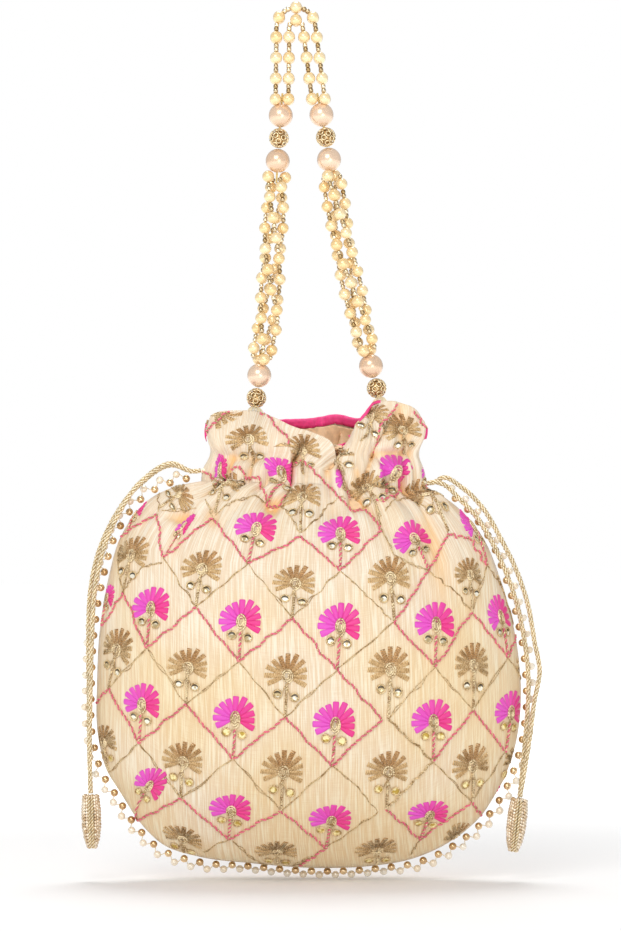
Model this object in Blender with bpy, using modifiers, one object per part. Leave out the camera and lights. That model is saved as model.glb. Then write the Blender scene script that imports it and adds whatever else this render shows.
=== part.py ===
"""A drawstring potli bag that hangs by its beaded handle.

Metres in Blender, millimetres in the constants below, +Z up, the front of the bag towards -Y.
The origin is the inside top of the handle loop, where a finger or a hook holds the bag.
"""
import math

import bmesh
import bpy
import numpy as np
from mathutils import Vector

MM = 0.001
CLEARANCE = 0.35

# Where the bag's own measures start: its middle, and the lowest point of its seam
BAG_MIDDLE_X = 7.0
BAG_BOTTOM_Z = -420.5

# Large beads: a pearl above and a pearl below each filigree ball of the upper pair
BIG_PEARL_R = 6.0
FILIGREE_R = 5.0
BEAD_BORE_R = 1.0
THREAD_R = 0.6
BEAD_STEP = BIG_PEARL_R + FILIGREE_R + CLEARANCE
BEAD_TURN_STEPS = 8
THREAD_IN_BEAD = 0.9
HANGER_THREAD_LENGTH = 14.0

# Filigree balls of each leg (x, z) and the lean of the bead above and below, degrees to +X going up
LEGS = {
    "left": {
        "upper": (-8.5, -55.6), "lean_above": 4.4, "lean_below": 3.3,
        "lower": (-19.8, -185.5), "lean_low": 7.3,
        "middle": [(-11.7, -111.5), (-13.4, -136.5)], "turn": 270.0, "start": 20.0,
    },
    "right": {
        "upper": (14.9, -55.1), "lean_above": -11.0, "lean_below": -8.2,
        "lower": (40.3, -180.6), "lean_low": -14.3,
        "middle": [(24.0, -111.5), (29.6, -136.5)], "turn": 180.0, "start": 65.0,
    },
}

# Strands of small pearls with seed beads between them
SMALL_PEARL_R = 3.0
SEED_R = 1.15
PEARL_SHOULDER = 1.45
STRANDS_IN_LEG = 4
LEG_BUNDLE_R = 4.5
LEG_PEARLS = 10
LEG_END_STEP = 8.14
LOOSE_STRAND_BOW = 3.0

# The loop at the top of the handle: two strands inside, two outside
LOOP_R = 6.5
LOOP_HALF_STEP = 3.2
LOOP_PEARLS_INSIDE = 9
LOOP_PEARLS_OUTSIDE = 11

# Outline of the sewn bag, (across from its middle, up from its bottom seam)
LEFT_SEAM = [(-94.5, 37.5), (-101.5, 48.5), (-106.0, 66.0), (-106.5, 94.0), (-105.0, 120.0),
             (-101.0, 144.0), (-94.0, 167.0), (-79.5, 185.0), (-66.0, 191.0), (-54.5, 193.0)]
BOTTOM_SEAM = [(-94.5, 37.5), (-85.5, 23.5), (-73.0, 11.5), (-54.5, 5.5), (-30.0, 2.5), (7.0, 0.0),
               (30.0, 1.0), (50.5, 4.5), (68.0, 12.0), (84.5, 25.0), (97.5, 45.0)]
RIGHT_SEAM = [(97.5, 45.0), (102.5, 60.5), (105.5, 84.0), (104.5, 104.0), (101.0, 124.5),
              (95.0, 145.0), (86.0, 166.0), (73.0, 181.0), (66.0, 186.0), (58.0, 190.0)]

# Half depth of the filled bag at its middle, by height
HALF_DEPTH = [(0.0, 1.0), (4.0, 9.0), (12.0, 17.0), (28.0, 27.5), (55.0, 37.0), (90.0, 42.0),
              (125.0, 41.0), (150.0, 36.0), (170.0, 28.0), (183.0, 19.5), (192.0, 14.5), (200.0, 14.0)]
SECTION_POWER = 2.6
SECTION_ROOT = 1.5

# The gathered mouth above the drawcord casing: (across, up, half depth) along each rim
CASING_HALF_HEIGHT = 4.0
FRONT_RIM = [(-50.5, 219.0, 1.0), (-46.5, 227.5, 6.0), (-39.0, 228.5, 7.0), (-27.0, 227.5, 2.6),
             (-16.0, 224.0, 8.0), (-8.0, 220.5, 14.0), (2.0, 217.5, 16.0), (10.5, 213.5, 15.5),
             (14.0, 208.0, 13.5), (18.0, 204.5, 7.5), (21.0, 213.0, 6.5), (25.0, 224.0, 9.0),
             (31.5, 231.5, 2.6), (39.0, 233.5, 9.0), (47.0, 232.5, 10.0), (54.0, 228.0, 6.0),
             (58.0, 219.0, 1.0)]
CREASE_ACROSS = 19.5
CREASE_HALF_WIDTH = 6.0
BACK_RIM = [(-50.5, 219.0, 1.0), (-46.0, 225.0, 6.0), (-30.0, 224.0, 10.0), (-17.0, 223.5, 11.0),
            (0.0, 224.0, 12.0), (14.0, 226.0, 12.5), (23.0, 224.0, 11.0), (38.0, 227.0, 10.0),
            (52.0, 227.0, 6.0), (58.0, 219.0, 1.0)]

# Cloth
PANEL_THICKNESS = 0.8
LINING_THICKNESS = 0.5
FACING_THICKNESS = 0.5
FACING_HEIGHT = 5.0
SEAM_HALF_DEPTH = 1.05
SLIT_HALF_DEPTH = 4.4
LINING_GAP = 3.6
LINING_GAP_AT_CASING = 6.9
LINING_SIDE_GAP = 4.0
LINING_SIDE_GAP_AT_CASING = 9.5
FRILL_FLARE_POWER = 1.3
CREASE_SLACK = 2.0
RIM_GAP = 0.4
PLEATS = 11
PLEAT_DEPTH = 3.0
PLEATS_START_HEIGHT = 110.0
COLUMNS = 2 * PLEATS
BODY_ROWS = [0.0, 0.13, 0.32, 0.54, 0.76, 0.93, 1.0]
FRILL_ROWS = [0.0, 0.28, 0.62, 1.0]

# Beaded edging along the seam: gold beads at the cloth, pearls between them further out
EDGING_PAIRS = 70
EDGING_GOLD_R = 1.9
EDGING_PEARL_R = 1.9
EDGING_GOLD_OUT = 2.7
EDGING_PEARL_OUT = 5.8
EDGING_TUCK_DEGREES = 50.0
EDGING_TUCK_FULL_HALF_WIDTH = 34.0
EDGING_TUCK_HALF_WIDTH = 62.0
EDGING_TUCK_HEIGHT = 60.0
EDGING_END_GAP = 7.0

# Drawcords
CORD_R = 1.3
CASING_CORD_HALF_WIDTH = 49.5
CASING_CORD_HALF_DEPTH = 10.0
CASING_CORD_STEP = 1.6
EXIT_HALF_STEP = 1.65
CORD_POINTS = 20

# Route of each free run: (across from the bag's middle, towards the back, up from its bottom seam)
LEFT_FRONT_RUN = [(-54.9, -1.65, 198.6), (-59.0, -1.65, 198.4), (-68.5, -2.8, 202.3), (-84.0, -6.0, 193.4),
                  (-96.2, -7.4, 175.6), (-103.6, -7.6, 157.4), (-107.4, -7.6, 137.5),
                  (-108.6, -7.6, 118.5), (-109.4, -7.6, 89.5), (-109.8, -7.6, 60.0), (-109.4, -8.1, 38.0)]
LEFT_BACK_RUN = [(-54.9, 1.65, 198.6), (-59.0, 1.65, 198.4), (-68.0, 0.5, 201.4), (-86.0, -3.4, 190.8),
                 (-98.8, -4.3, 173.4), (-106.2, -4.5, 155.8), (-109.8, -4.5, 137.0), (-110.6, -4.5, 118.0),
                 (-110.4, -4.5, 89.5), (-110.2, -4.6, 60.0), (-109.4, -5.2, 38.0)]
RIGHT_FRONT_RUN = [(58.5, -1.65, 192.4), (62.5, -1.65, 193.0), (66.5, -2.4, 191.9), (74.2, -4.6, 185.0),
                   (83.8, -5.3, 174.6), (91.0, -5.0, 162.6), (98.2, -5.0, 146.9), (104.3, -5.0, 127.9),
                   (107.0, -5.0, 114.0), (109.0, -5.2, 95.0), (108.5, -5.6, 79.5), (107.0, -6.0, 60.5),
                   (104.6, -6.2, 36.2)]
RIGHT_BACK_RUN = [(58.5, 1.65, 192.4), (62.5, 1.65, 193.0), (66.5, 1.3, 195.2), (75.5, -0.6, 190.6),
                  (86.0, -3.0, 180.4), (94.8, -5.0, 165.5), (102.4, -6.0, 150.2), (108.8, -7.0, 131.1),
                  (111.8, -7.6, 114.0), (114.4, -8.4, 98.7), (111.7, -8.8, 83.5), (109.3, -9.0, 64.3),
                  (104.6, -9.1, 36.2)]

# Beaded tassels: (half width, down from the top), and the two ends of each one's middle line
TASSEL_PROFILE = [(0.0, 0.0), (2.0, 0.0), (4.4, 0.8), (5.0, 8.0), (4.9, 16.0), (4.1, 22.0), (2.6, 26.4),
                  (0.5, 27.2), (0.0, 27.2)]
LEFT_TASSEL = ((-109.4, -6.65, 37.3), (-108.6, -6.65, 10.1))
RIGHT_TASSEL = ((104.5, -7.65, 35.5), (101.2, -7.65, 8.5))
TASSEL_TURN_STEPS = 9

COLOURS = {
    "raw_silk": ((0.86, 0.70, 0.48), 0.55, 0.0),
    "beige_satin": ((0.62, 0.50, 0.36), 0.45, 0.0),
    "pink_satin": ((0.80, 0.05, 0.32), 0.5, 0.0),
    "pearl": ((0.90, 0.70, 0.42), 0.22, 0.0),
    "large_pearl": ((0.88, 0.66, 0.46), 0.2, 0.0),
    "gold_filigree": ((0.72, 0.55, 0.28), 0.3, 1.0),
    "gold_cord": ((0.66, 0.56, 0.30), 0.45, 0.6),
    "edging_beads": ((0.78, 0.60, 0.38), 0.3, 0.5),
    "tassel_beads": ((0.72, 0.54, 0.38), 0.3, 0.6),
    "nylon_thread": ((0.85, 0.80, 0.65), 0.5, 0.0),
}


def clear_scene():
    for item in list(bpy.data.objects):
        bpy.data.objects.remove(item, do_unlink=True)


def make_collection(name):
    collection = bpy.data.collections.new(name)
    bpy.context.scene.collection.children.link(collection)
    return collection


def make_material(name):
    colour, roughness, metallic = COLOURS[name]
    material = bpy.data.materials.new(name)
    material.use_nodes = True
    shader = material.node_tree.nodes["Principled BSDF"]
    shader.inputs["Base Color"].default_value = (*colour, 1.0)
    shader.inputs["Roughness"].default_value = roughness
    shader.inputs["Metallic"].default_value = metallic
    material.diffuse_color = (*colour, 1.0)
    return material


clear_scene()
BAG = make_collection("potli_bag")
GUIDES = make_collection("guides")
MATERIALS = {name: make_material(name) for name in COLOURS}


def smooth_curve(points, count=None, stations=None):
    """Points along a smooth curve through the given ones: evenly spaced, or at the given lengths."""
    points = np.array(points, float)
    chord = np.concatenate([[0.0], np.cumsum(np.linalg.norm(np.diff(points, axis=0), axis=1))])
    slopes = np.gradient(points, chord, axis=0)
    fine = np.linspace(0.0, chord[-1], 40 * len(points))
    piece = np.clip(np.searchsorted(chord, fine, side="right") - 1, 0, len(points) - 2)
    span = (chord[piece + 1] - chord[piece])[:, None]
    t = (fine - chord[piece])[:, None] / span
    curve = ((2 * t**3 - 3 * t**2 + 1) * points[piece] + (t**3 - 2 * t**2 + t) * slopes[piece] * span
             + (3 * t**2 - 2 * t**3) * points[piece + 1] + (t**3 - t**2) * slopes[piece + 1] * span)
    length = np.concatenate([[0.0], np.cumsum(np.linalg.norm(np.diff(curve, axis=0), axis=1))])
    wanted = np.linspace(0.0, length[-1], count) if stations is None else np.array(stations)
    return np.column_stack([np.interp(wanted, length, curve[:, axis]) for axis in range(curve.shape[1])])


def curve_length(points):
    fine = smooth_curve(points, 400)
    return float(np.linalg.norm(np.diff(fine, axis=0), axis=1).sum())


def smooth_step(value, low, high):
    t = np.clip((value - low) / (high - low), 0.0, 1.0)
    return t * t * (3.0 - 2.0 * t)


def from_bag(points):
    """Bag measures (across, back, up) as millimetres from the handle's top."""
    return np.array(points, float) + np.array([BAG_MIDDLE_X, 0.0, BAG_BOTTOM_Z])


def make_axis(name, centre, parent=None):
    """An empty on a joint's axis; the pieces that turn about it are its children."""
    empty = bpy.data.objects.new(name, None)
    BAG.objects.link(empty)
    origin = Vector(centre) * MM
    if parent is not None:
        empty.parent = parent
        origin -= world_origin(parent)
    empty.location = origin
    return empty


def world_origin(item):
    """Where an empty stands in the world, from its own place and its parents'."""
    origin = Vector((0.0, 0.0, 0.0))
    while item is not None:
        origin += item.location
        item = item.parent
    return origin


def place(name, data, material, parent, at=(0.0, 0.0, 0.0)):
    """An object of the bag whose own origin stands at a point given in world millimetres."""
    item = bpy.data.objects.new(name, data)
    data.materials.append(MATERIALS[material])
    BAG.objects.link(item)
    item.location = Vector(at) * MM
    if parent is not None:
        item.parent = parent
        item.location -= world_origin(parent)
    return item


def regular_section(name, sides):
    """A flat ring one metre in radius that a curve sweeps; each point's radius sets its real size."""
    curve = bpy.data.curves.new(name, "CURVE")
    spline = curve.splines.new("POLY")
    spline.points.add(sides - 1)
    for index, point in enumerate(spline.points):
        angle = -2.0 * math.pi * index / sides
        point.co = (math.cos(angle), math.sin(angle), 0.0, 1.0)
    spline.use_cyclic_u = True
    item = bpy.data.objects.new(name, curve)
    GUIDES.objects.link(item)
    item.hide_render = True
    item.display_type = "WIRE"
    return item


STRAND_SECTION = regular_section("strand_section", 5)
EDGING_SECTION = regular_section("edging_section", 4)
THREAD_SECTION = regular_section("thread_section", 6)


def swept_string(name, points, radii, section, material, parent):
    """A string of beads: one swept solid that swells at each bead."""
    curve = bpy.data.curves.new(name, "CURVE")
    curve.dimensions = "3D"
    curve.bevel_mode = "OBJECT"
    curve.bevel_object = section
    curve.use_fill_caps = True
    spline = curve.splines.new("POLY")
    spline.points.add(len(points) - 1)
    origin = Vector((0.0, 0.0, 0.0)) if parent is None else world_origin(parent)
    for control, centre, radius in zip(spline.points, points, radii):
        control.co = (*(Vector(centre) * MM - origin), 1.0)
        control.radius = radius * MM
    item = place(name, curve, material, parent)
    item.location = (0.0, 0.0, 0.0)
    return item


def round_cord(name, points, radius, material, parent):
    """A plain round cord along a route."""
    curve = bpy.data.curves.new(name, "CURVE")
    curve.dimensions = "3D"
    curve.bevel_depth = radius * MM
    curve.bevel_resolution = 2
    curve.use_fill_caps = True
    spline = curve.splines.new("POLY")
    spline.points.add(len(points) - 1)
    origin = world_origin(parent)
    for control, centre in zip(spline.points, points):
        control.co = (*(Vector(centre) * MM - origin), 1.0)
    item = place(name, curve, material, parent)
    item.location = (0.0, 0.0, 0.0)
    return item


def turned_piece(name, profile, steps, material, parent, centre, axis):
    """A profile (radius, height), top to bottom down its outer side, turned about an axis.

    A profile that starts away from the axis is closed into a ring round a bore.
    """
    mesh = bpy.data.meshes.new(name)
    points = [(radius * MM, 0.0, height * MM) for radius, height in profile]
    edges = [(index, index + 1) for index in range(len(points) - 1)]
    if profile[0][0] > 0.0:
        edges.append((len(points) - 1, 0))
    mesh.from_pydata(points, edges, [])
    item = place(name, mesh, material, parent, centre)
    item.rotation_euler = Vector(axis).to_track_quat("Z", "Y").to_euler()
    screw = item.modifiers.new("turn", "SCREW")
    screw.axis = "Z"
    screw.angle = 2.0 * math.pi
    screw.steps = steps
    screw.render_steps = steps
    screw.use_merge_vertices = True
    screw.merge_threshold = 0.00001
    screw.use_smooth_shade = True
    return item


def bored_bead(name, radius, material, parent, centre, axis):
    """A round bead with the bore that its threads pass through."""
    top_angle = math.asin(BEAD_BORE_R / radius)
    angles = np.linspace(top_angle, math.pi - top_angle, 5)
    profile = [(radius * math.sin(angle), radius * math.cos(angle)) for angle in angles]
    return turned_piece(name, profile, BEAD_TURN_STEPS, material, parent, centre, axis)


def leaning(centre, degrees, distance):
    """The point at a distance along a line that leans from the vertical in the handle's plane."""
    angle = math.radians(degrees)
    return np.array(centre) + distance * np.array([math.sin(angle), 0.0, math.cos(angle)])


def bead_chain(leg):
    """Centres of the large beads of one leg, top to bottom."""
    upper = np.array([leg["upper"][0], 0.0, leg["upper"][1]])
    lower = np.array([leg["lower"][0], 0.0, leg["lower"][1]])
    return {
        "upper_pearl": leaning(upper, leg["lean_above"], BEAD_STEP),
        "upper_filigree": upper,
        "middle_pearl": leaning(upper, leg["lean_below"], -BEAD_STEP),
        "lower_pearl": leaning(lower, leg["lean_low"], BEAD_STEP),
        "lower_filigree": lower,
    }


def string_of_pearls(path, pearls, first, pitch):
    """Stations and radii along a path: two rings on each pearl, one on the seed beads between."""
    total = curve_length(path)
    stations = []
    radii = []
    if first > PEARL_SHOULDER + 1.0:
        stations.append(0.0)
        radii.append(SEED_R)
    for index in range(pearls):
        centre = first + index * pitch
        for station in (centre - PEARL_SHOULDER, centre + PEARL_SHOULDER):
            stations.append(station)
            radii.append(SMALL_PEARL_R - 0.05)
        if index < pearls - 1:
            stations.append(centre + 0.5 * pitch)
            radii.append(SEED_R)
    if total - stations[-1] > 1.0:
        stations.append(total)
        radii.append(SEED_R)
    return smooth_curve(path, stations=stations), radii


def leg_strand_path(leg, beads, strand):
    """One strand of a leg: it winds round the leg's middle line from pearl to pearl."""
    top = leaning(beads["middle_pearl"], leg["lean_below"], -LEG_END_STEP)
    bottom = leaning(beads["lower_pearl"], leg["lean_low"], LEG_END_STEP)
    middle = [np.array([x, 0.0, z]) for x, z in leg["middle"]]
    line = smooth_curve([top, *middle, bottom], 60)
    tangent = np.gradient(line, axis=0)
    tangent /= np.linalg.norm(tangent, axis=1)[:, None]
    side = np.column_stack([-tangent[:, 2], np.zeros(len(line)), tangent[:, 0]])
    along = np.linspace(0.0, 1.0, len(line))
    angle = np.radians(leg["start"] + 360.0 * strand / STRANDS_IN_LEG + leg["turn"] * along)
    radius = np.full(len(line), LEG_BUNDLE_R)
    if leg is LEGS["left"] and strand == 1:
        radius += LOOSE_STRAND_BOW * np.sin(math.pi * smooth_step(along, 0.45, 1.0)) ** 2
    depth = np.array([0.0, 1.0, 0.0])
    return line + radius[:, None] * (np.cos(angle)[:, None] * side + np.sin(angle)[:, None] * depth)


def add_leg_strands(side, leg, beads, parent):
    for strand in range(STRANDS_IN_LEG):
        path = leg_strand_path(leg, beads, strand)[::3]
        total = curve_length(path)
        pitch = total / (LEG_PEARLS - 1)
        staggered = strand % 2 == 1
        pearls = LEG_PEARLS - 1 if staggered else LEG_PEARLS
        first = 0.5 * pitch if staggered else 0.0
        if not staggered:
            path = stretched(path, PEARL_SHOULDER)
            first = PEARL_SHOULDER
        points, radii = string_of_pearls(path, pearls, first, pitch)
        name = f"{side}_leg_strand_{strand + 1}"
        swept_string(name, points, radii, STRAND_SECTION, "pearl", parent)


def stretched(path, extra):
    """A path made longer at both ends, so that its end pearls are whole."""
    path = np.array(path, float)
    start = path[0] + extra * (path[0] - path[1]) / np.linalg.norm(path[0] - path[1])
    end = path[-1] + extra * (path[-1] - path[-2]) / np.linalg.norm(path[-1] - path[-2])
    return np.vstack([start, path, end])


def loop_strand_path(beads, inward, depth):
    """One strand of the loop: up from the left pearl, round the top, down to the right pearl."""
    reach = LOOP_R - inward * LOOP_HALF_STEP
    left_foot = leaning(beads["left"]["upper_pearl"], LEGS["left"]["lean_above"], LEG_END_STEP)
    right_foot = leaning(beads["right"]["upper_pearl"], LEGS["right"]["lean_above"], LEG_END_STEP)
    rise = np.linspace(0.0, 1.0, 6)[:-1]
    left_line = [left_foot + t * (np.array([-LOOP_R, 0.0, 0.0]) - left_foot) for t in rise]
    right_line = [right_foot + t * (np.array([LOOP_R, 0.0, 0.0]) - right_foot) for t in rise]
    left = [point + [inward * LOOP_HALF_STEP, 0.0, 0.0] for point in left_line]
    right = [point - [inward * LOOP_HALF_STEP, 0.0, 0.0] for point in right_line]
    angles = np.linspace(math.pi, 0.0, 9)
    arc = [np.array([reach * math.cos(angle), 0.0, reach * math.sin(angle)]) for angle in angles]
    path = np.array([*left, *arc, *reversed(right)])
    path[:, 1] += depth * LOOP_HALF_STEP
    return path


def add_loop_strands(beads):
    places = {"front_inside": (1, -1), "back_inside": (1, 1), "front_outside": (-1, -1),
              "back_outside": (-1, 1)}
    for name, (inward, depth) in places.items():
        path = stretched(loop_strand_path(beads, inward, depth), PEARL_SHOULDER)
        pearls = LOOP_PEARLS_INSIDE if inward > 0 else LOOP_PEARLS_OUTSIDE
        pitch = (curve_length(path) - 2.0 * PEARL_SHOULDER) / (pearls - 1)
        points, radii = string_of_pearls(path, pearls, PEARL_SHOULDER, pitch)
        swept_string(f"loop_strand_{name}", points, radii, STRAND_SECTION, "pearl", None)


def add_handle(beads, fold_axis, tilt_axis):
    """Large beads, the threads through them, and the strands, on the body that carries each."""
    add_loop_strands(beads)
    for side, leg in LEGS.items():
        chain = beads[side]
        add_leg_strands(side, leg, chain, fold_axis)
        above = leaning((0, 0, 0), leg["lean_above"], 1.0)
        below = leaning((0, 0, 0), leg["lean_below"], 1.0)
        low = leaning((0, 0, 0), leg["lean_low"], 1.0)
        bored_bead(f"{side}_upper_pearl", BIG_PEARL_R, "large_pearl", None, chain["upper_pearl"], above)
        bored_bead(f"{side}_upper_filigree", FILIGREE_R, "gold_filigree", None,
                   chain["upper_filigree"], above)
        bored_bead(f"{side}_middle_pearl", BIG_PEARL_R, "large_pearl", fold_axis,
                   chain["middle_pearl"], below)
        bored_bead(f"{side}_lower_pearl", BIG_PEARL_R, "large_pearl", fold_axis,
                   chain["lower_pearl"], low)
        bored_bead(f"{side}_lower_filigree", FILIGREE_R, "gold_filigree", tilt_axis,
                   chain["lower_filigree"], low)
        inside_strands = LEG_END_STEP + SMALL_PEARL_R
        reach = FILIGREE_R + CLEARANCE
        threads = {
            "upper_thread": (chain["upper_pearl"] + inside_strands * above,
                             chain["upper_filigree"] - THREAD_IN_BEAD * FILIGREE_R * above, None),
            "middle_thread": (chain["upper_filigree"] - reach * below,
                              chain["middle_pearl"] - inside_strands * below, fold_axis),
            "lower_thread": (chain["lower_pearl"] + inside_strands * low,
                             chain["lower_filigree"] + reach * low, fold_axis),
            "hanger_thread": (chain["lower_filigree"] + THREAD_IN_BEAD * FILIGREE_R * low,
                              chain["lower_filigree"] - HANGER_THREAD_LENGTH * low, tilt_axis),
        }
        for name, (start, end, parent) in threads.items():
            swept_string(f"{side}_{name}", [start, end], [THREAD_R, THREAD_R], THREAD_SECTION,
                         "nylon_thread", parent)


LEFT_EDGE = np.vstack([smooth_curve(BOTTOM_SEAM[:6], 80)[::-1], smooth_curve(LEFT_SEAM, 80)])
RIGHT_EDGE = np.vstack([smooth_curve(BOTTOM_SEAM[5:], 80), smooth_curve(RIGHT_SEAM, 80)])
DEPTH_LINE = smooth_curve(HALF_DEPTH, 300)


def seam_across(height):
    """The left and right edge of the cloth at a height."""
    left_x = np.interp(height, np.maximum.accumulate(LEFT_EDGE[:, 1]), LEFT_EDGE[:, 0])
    right_x = np.interp(height, np.maximum.accumulate(RIGHT_EDGE[:, 1]), RIGHT_EDGE[:, 0])
    return left_x, right_x


def section_share(across, height):
    """How deep the bag is at a place, as a share of its depth at the middle of that height."""
    left_x, right_x = seam_across(height)
    share = (across - 0.5 * (left_x + right_x)) / (0.5 * (right_x - left_x))
    share = np.clip(np.abs(share), 0.0, 1.0)
    return (1.0 - share**SECTION_POWER) ** (1.0 / SECTION_ROOT)


def body_grid(columns, rows):
    """Places (across, half depth, up) of one panel below the casing, seam to seam."""
    u = np.linspace(0.0, 1.0, columns + 1)
    v = np.array(rows)
    left = seam_at(LEFT_SEAM, v)
    right = seam_at(RIGHT_SEAM, v)
    bottom = seam_at(BOTTOM_SEAM, u)
    top = np.array(LEFT_SEAM[-1]) + u[:, None] * (np.array(RIGHT_SEAM[-1]) - np.array(LEFT_SEAM[-1]))
    uu = u[None, :, None]
    vv = v[:, None, None]
    corners = ((1 - uu) * (1 - vv) * bottom[0] + uu * (1 - vv) * bottom[-1]
               + (1 - uu) * vv * top[0] + uu * vv * top[-1])
    flat = ((1 - uu) * left[:, None, :] + uu * right[:, None, :]
            + (1 - vv) * bottom[None, :, :] + vv * top[None, :, :] - corners)
    across, up = flat[..., 0], flat[..., 1]
    depth = np.interp(up, DEPTH_LINE[:, 0], DEPTH_LINE[:, 1]) * section_share(across, up)
    depth[0] = 0.0
    depth[:, 0] = 0.0
    depth[:, -1] = 0.0
    return np.stack([across, depth, up], axis=-1)


def seam_at(seam, share):
    """Points on a seam at shares of its length."""
    return smooth_curve(seam, stations=np.array(share) * curve_length(seam))


def frill_grid(columns, rows, rim, casing):
    """Places of one panel above the casing: from its last body row up to the rim."""
    edge = smooth_curve(rim, columns + 1)[:, [0, 2, 1]]
    base = casing + np.array([0.0, 0.0, 2.0 * CASING_HALF_HEIGHT])
    w = np.array(rows)[:, None, None]
    flare = w ** FRILL_FLARE_POWER
    grid = base[None] * (1.0 - w) + edge[None] * w
    grid[..., 1] = base[None, :, 1] * (1.0 - flare[..., 0]) + edge[None, :, 1] * flare[..., 0]
    return grid


def panel_grid(rim, pleated=True):
    """The whole outer surface of one panel, bottom seam to rim, half depth always positive."""
    body = body_grid(COLUMNS, BODY_ROWS)
    frill = frill_grid(COLUMNS, FRILL_ROWS, rim, body[-1])
    grid = np.vstack([body, frill])
    if pleated:
        up = grid[..., 2]
        fold = 0.5 - 0.5 * np.cos(2.0 * math.pi * PLEATS * np.linspace(0.0, 1.0, COLUMNS + 1))
        amount = PLEAT_DEPTH * smooth_step(up, PLEATS_START_HEIGHT, LEFT_SEAM[-1][1])
        amount *= 1.0 - smooth_step(up, LEFT_SEAM[-1][1] + 8.0, LEFT_SEAM[-1][1] + 24.0)
        grid[..., 1] += amount * fold[None, :]
    edge_depth = np.full(len(grid), SEAM_HALF_DEPTH)
    edge_depth[len(BODY_ROWS) - 1:len(BODY_ROWS) + 1] = SLIT_HALF_DEPTH
    grid[..., 1] = np.maximum(grid[..., 1], SEAM_HALF_DEPTH)
    grid[:, 0, 1] = edge_depth
    grid[:, -1, 1] = edge_depth
    return grid


def grid_normals(grid):
    """Normals of a grid out of the bag, lengthened at folds so that an offset keeps its distance."""
    along = np.diff(grid, axis=1)
    upward = np.gradient(grid, axis=0)
    faces = np.cross(along, 0.5 * (upward[:, 1:] + upward[:, :-1]))
    faces *= np.where(faces[..., 1:2] < 0.0, -1.0, 1.0)
    faces /= np.linalg.norm(faces, axis=-1, keepdims=True)
    before = np.concatenate([faces[:, :1], faces], axis=1)
    after = np.concatenate([faces, faces[:, -1:]], axis=1)
    normal = before + after
    normal /= np.linalg.norm(normal, axis=-1, keepdims=True)
    lean = np.sum(normal * before, axis=-1, keepdims=True)
    return normal / np.maximum(lean, 0.55)


def cloth_sheet(name, grid, side, thickness, material, parent):
    """A sheet from a grid of places on one side of the bag; side is -1 in front, +1 behind."""
    rows, columns = grid.shape[:2]
    mesh_points = grid.copy()
    mesh_points[..., 1] *= side
    mesh = bpy.data.meshes.new(name)
    origin = world_origin(parent)
    shell = bmesh.new()
    corners = [[shell.verts.new(Vector(place_mm) * MM - origin) for place_mm in row]
               for row in from_bag(mesh_points)]
    for row in range(rows - 1):
        for column in range(columns - 1):
            ring = [corners[row][column], corners[row][column + 1],
                    corners[row + 1][column + 1], corners[row + 1][column]]
            shell.faces.new(ring if side < 0 else ring[::-1])
    shell.to_mesh(mesh)
    shell.free()
    mesh.shade_smooth()
    item = place(name, mesh, material, parent)
    item.location = (0.0, 0.0, 0.0)
    wall = item.modifiers.new("cloth", "SOLIDIFY")
    wall.thickness = thickness * MM
    wall.offset = -1.0
    wall.use_rim = True
    return item


def add_panels(parent):
    cloth_sheet("front_panel", panel_grid(FRONT_RIM), -1, PANEL_THICKNESS, "raw_silk", parent)
    cloth_sheet("back_panel", panel_grid(BACK_RIM), 1, PANEL_THICKNESS, "raw_silk", parent)


def rim_band(grid, top_gap, height, inset, most=0.5):
    """A band just under the rim, moved inwards off the panel, and narrower where the frill is short."""
    top, below = grid[-1], grid[-2]
    downward = below - top
    length = np.linalg.norm(downward, axis=1, keepdims=True)
    normals = grid_normals(grid)
    rows = []
    for distance in (top_gap + height, top_gap):
        share = np.minimum(distance / length, most)
        normal = normals[-1] * (1.0 - share) + normals[-2] * share
        rows.append(top + share * downward - inset * crease_slack(top) * normal)
    return np.array(rows)


def crease_slack(places):
    """Facing and lining stand further off the panel where its rim dips into the crease."""
    return 1.0 + CREASE_SLACK * np.exp(-((places[..., :1] - CREASE_ACROSS) / CREASE_HALF_WIDTH) ** 2)


def add_facings(parent):
    """The pink facing inside the rim of each panel."""
    inset = PANEL_THICKNESS + 1.4 * CLEARANCE
    for name, rim, side in (("front_facing", FRONT_RIM, -1), ("back_facing", BACK_RIM, 1)):
        band = rim_band(panel_grid(rim), RIM_GAP, FACING_HEIGHT, inset)[:, 1:-1]
        band[..., 1] = np.maximum(band[..., 1], FACING_THICKNESS + 0.3)
        cloth_sheet(name, band, side, FACING_THICKNESS, "pink_satin", parent)


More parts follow.
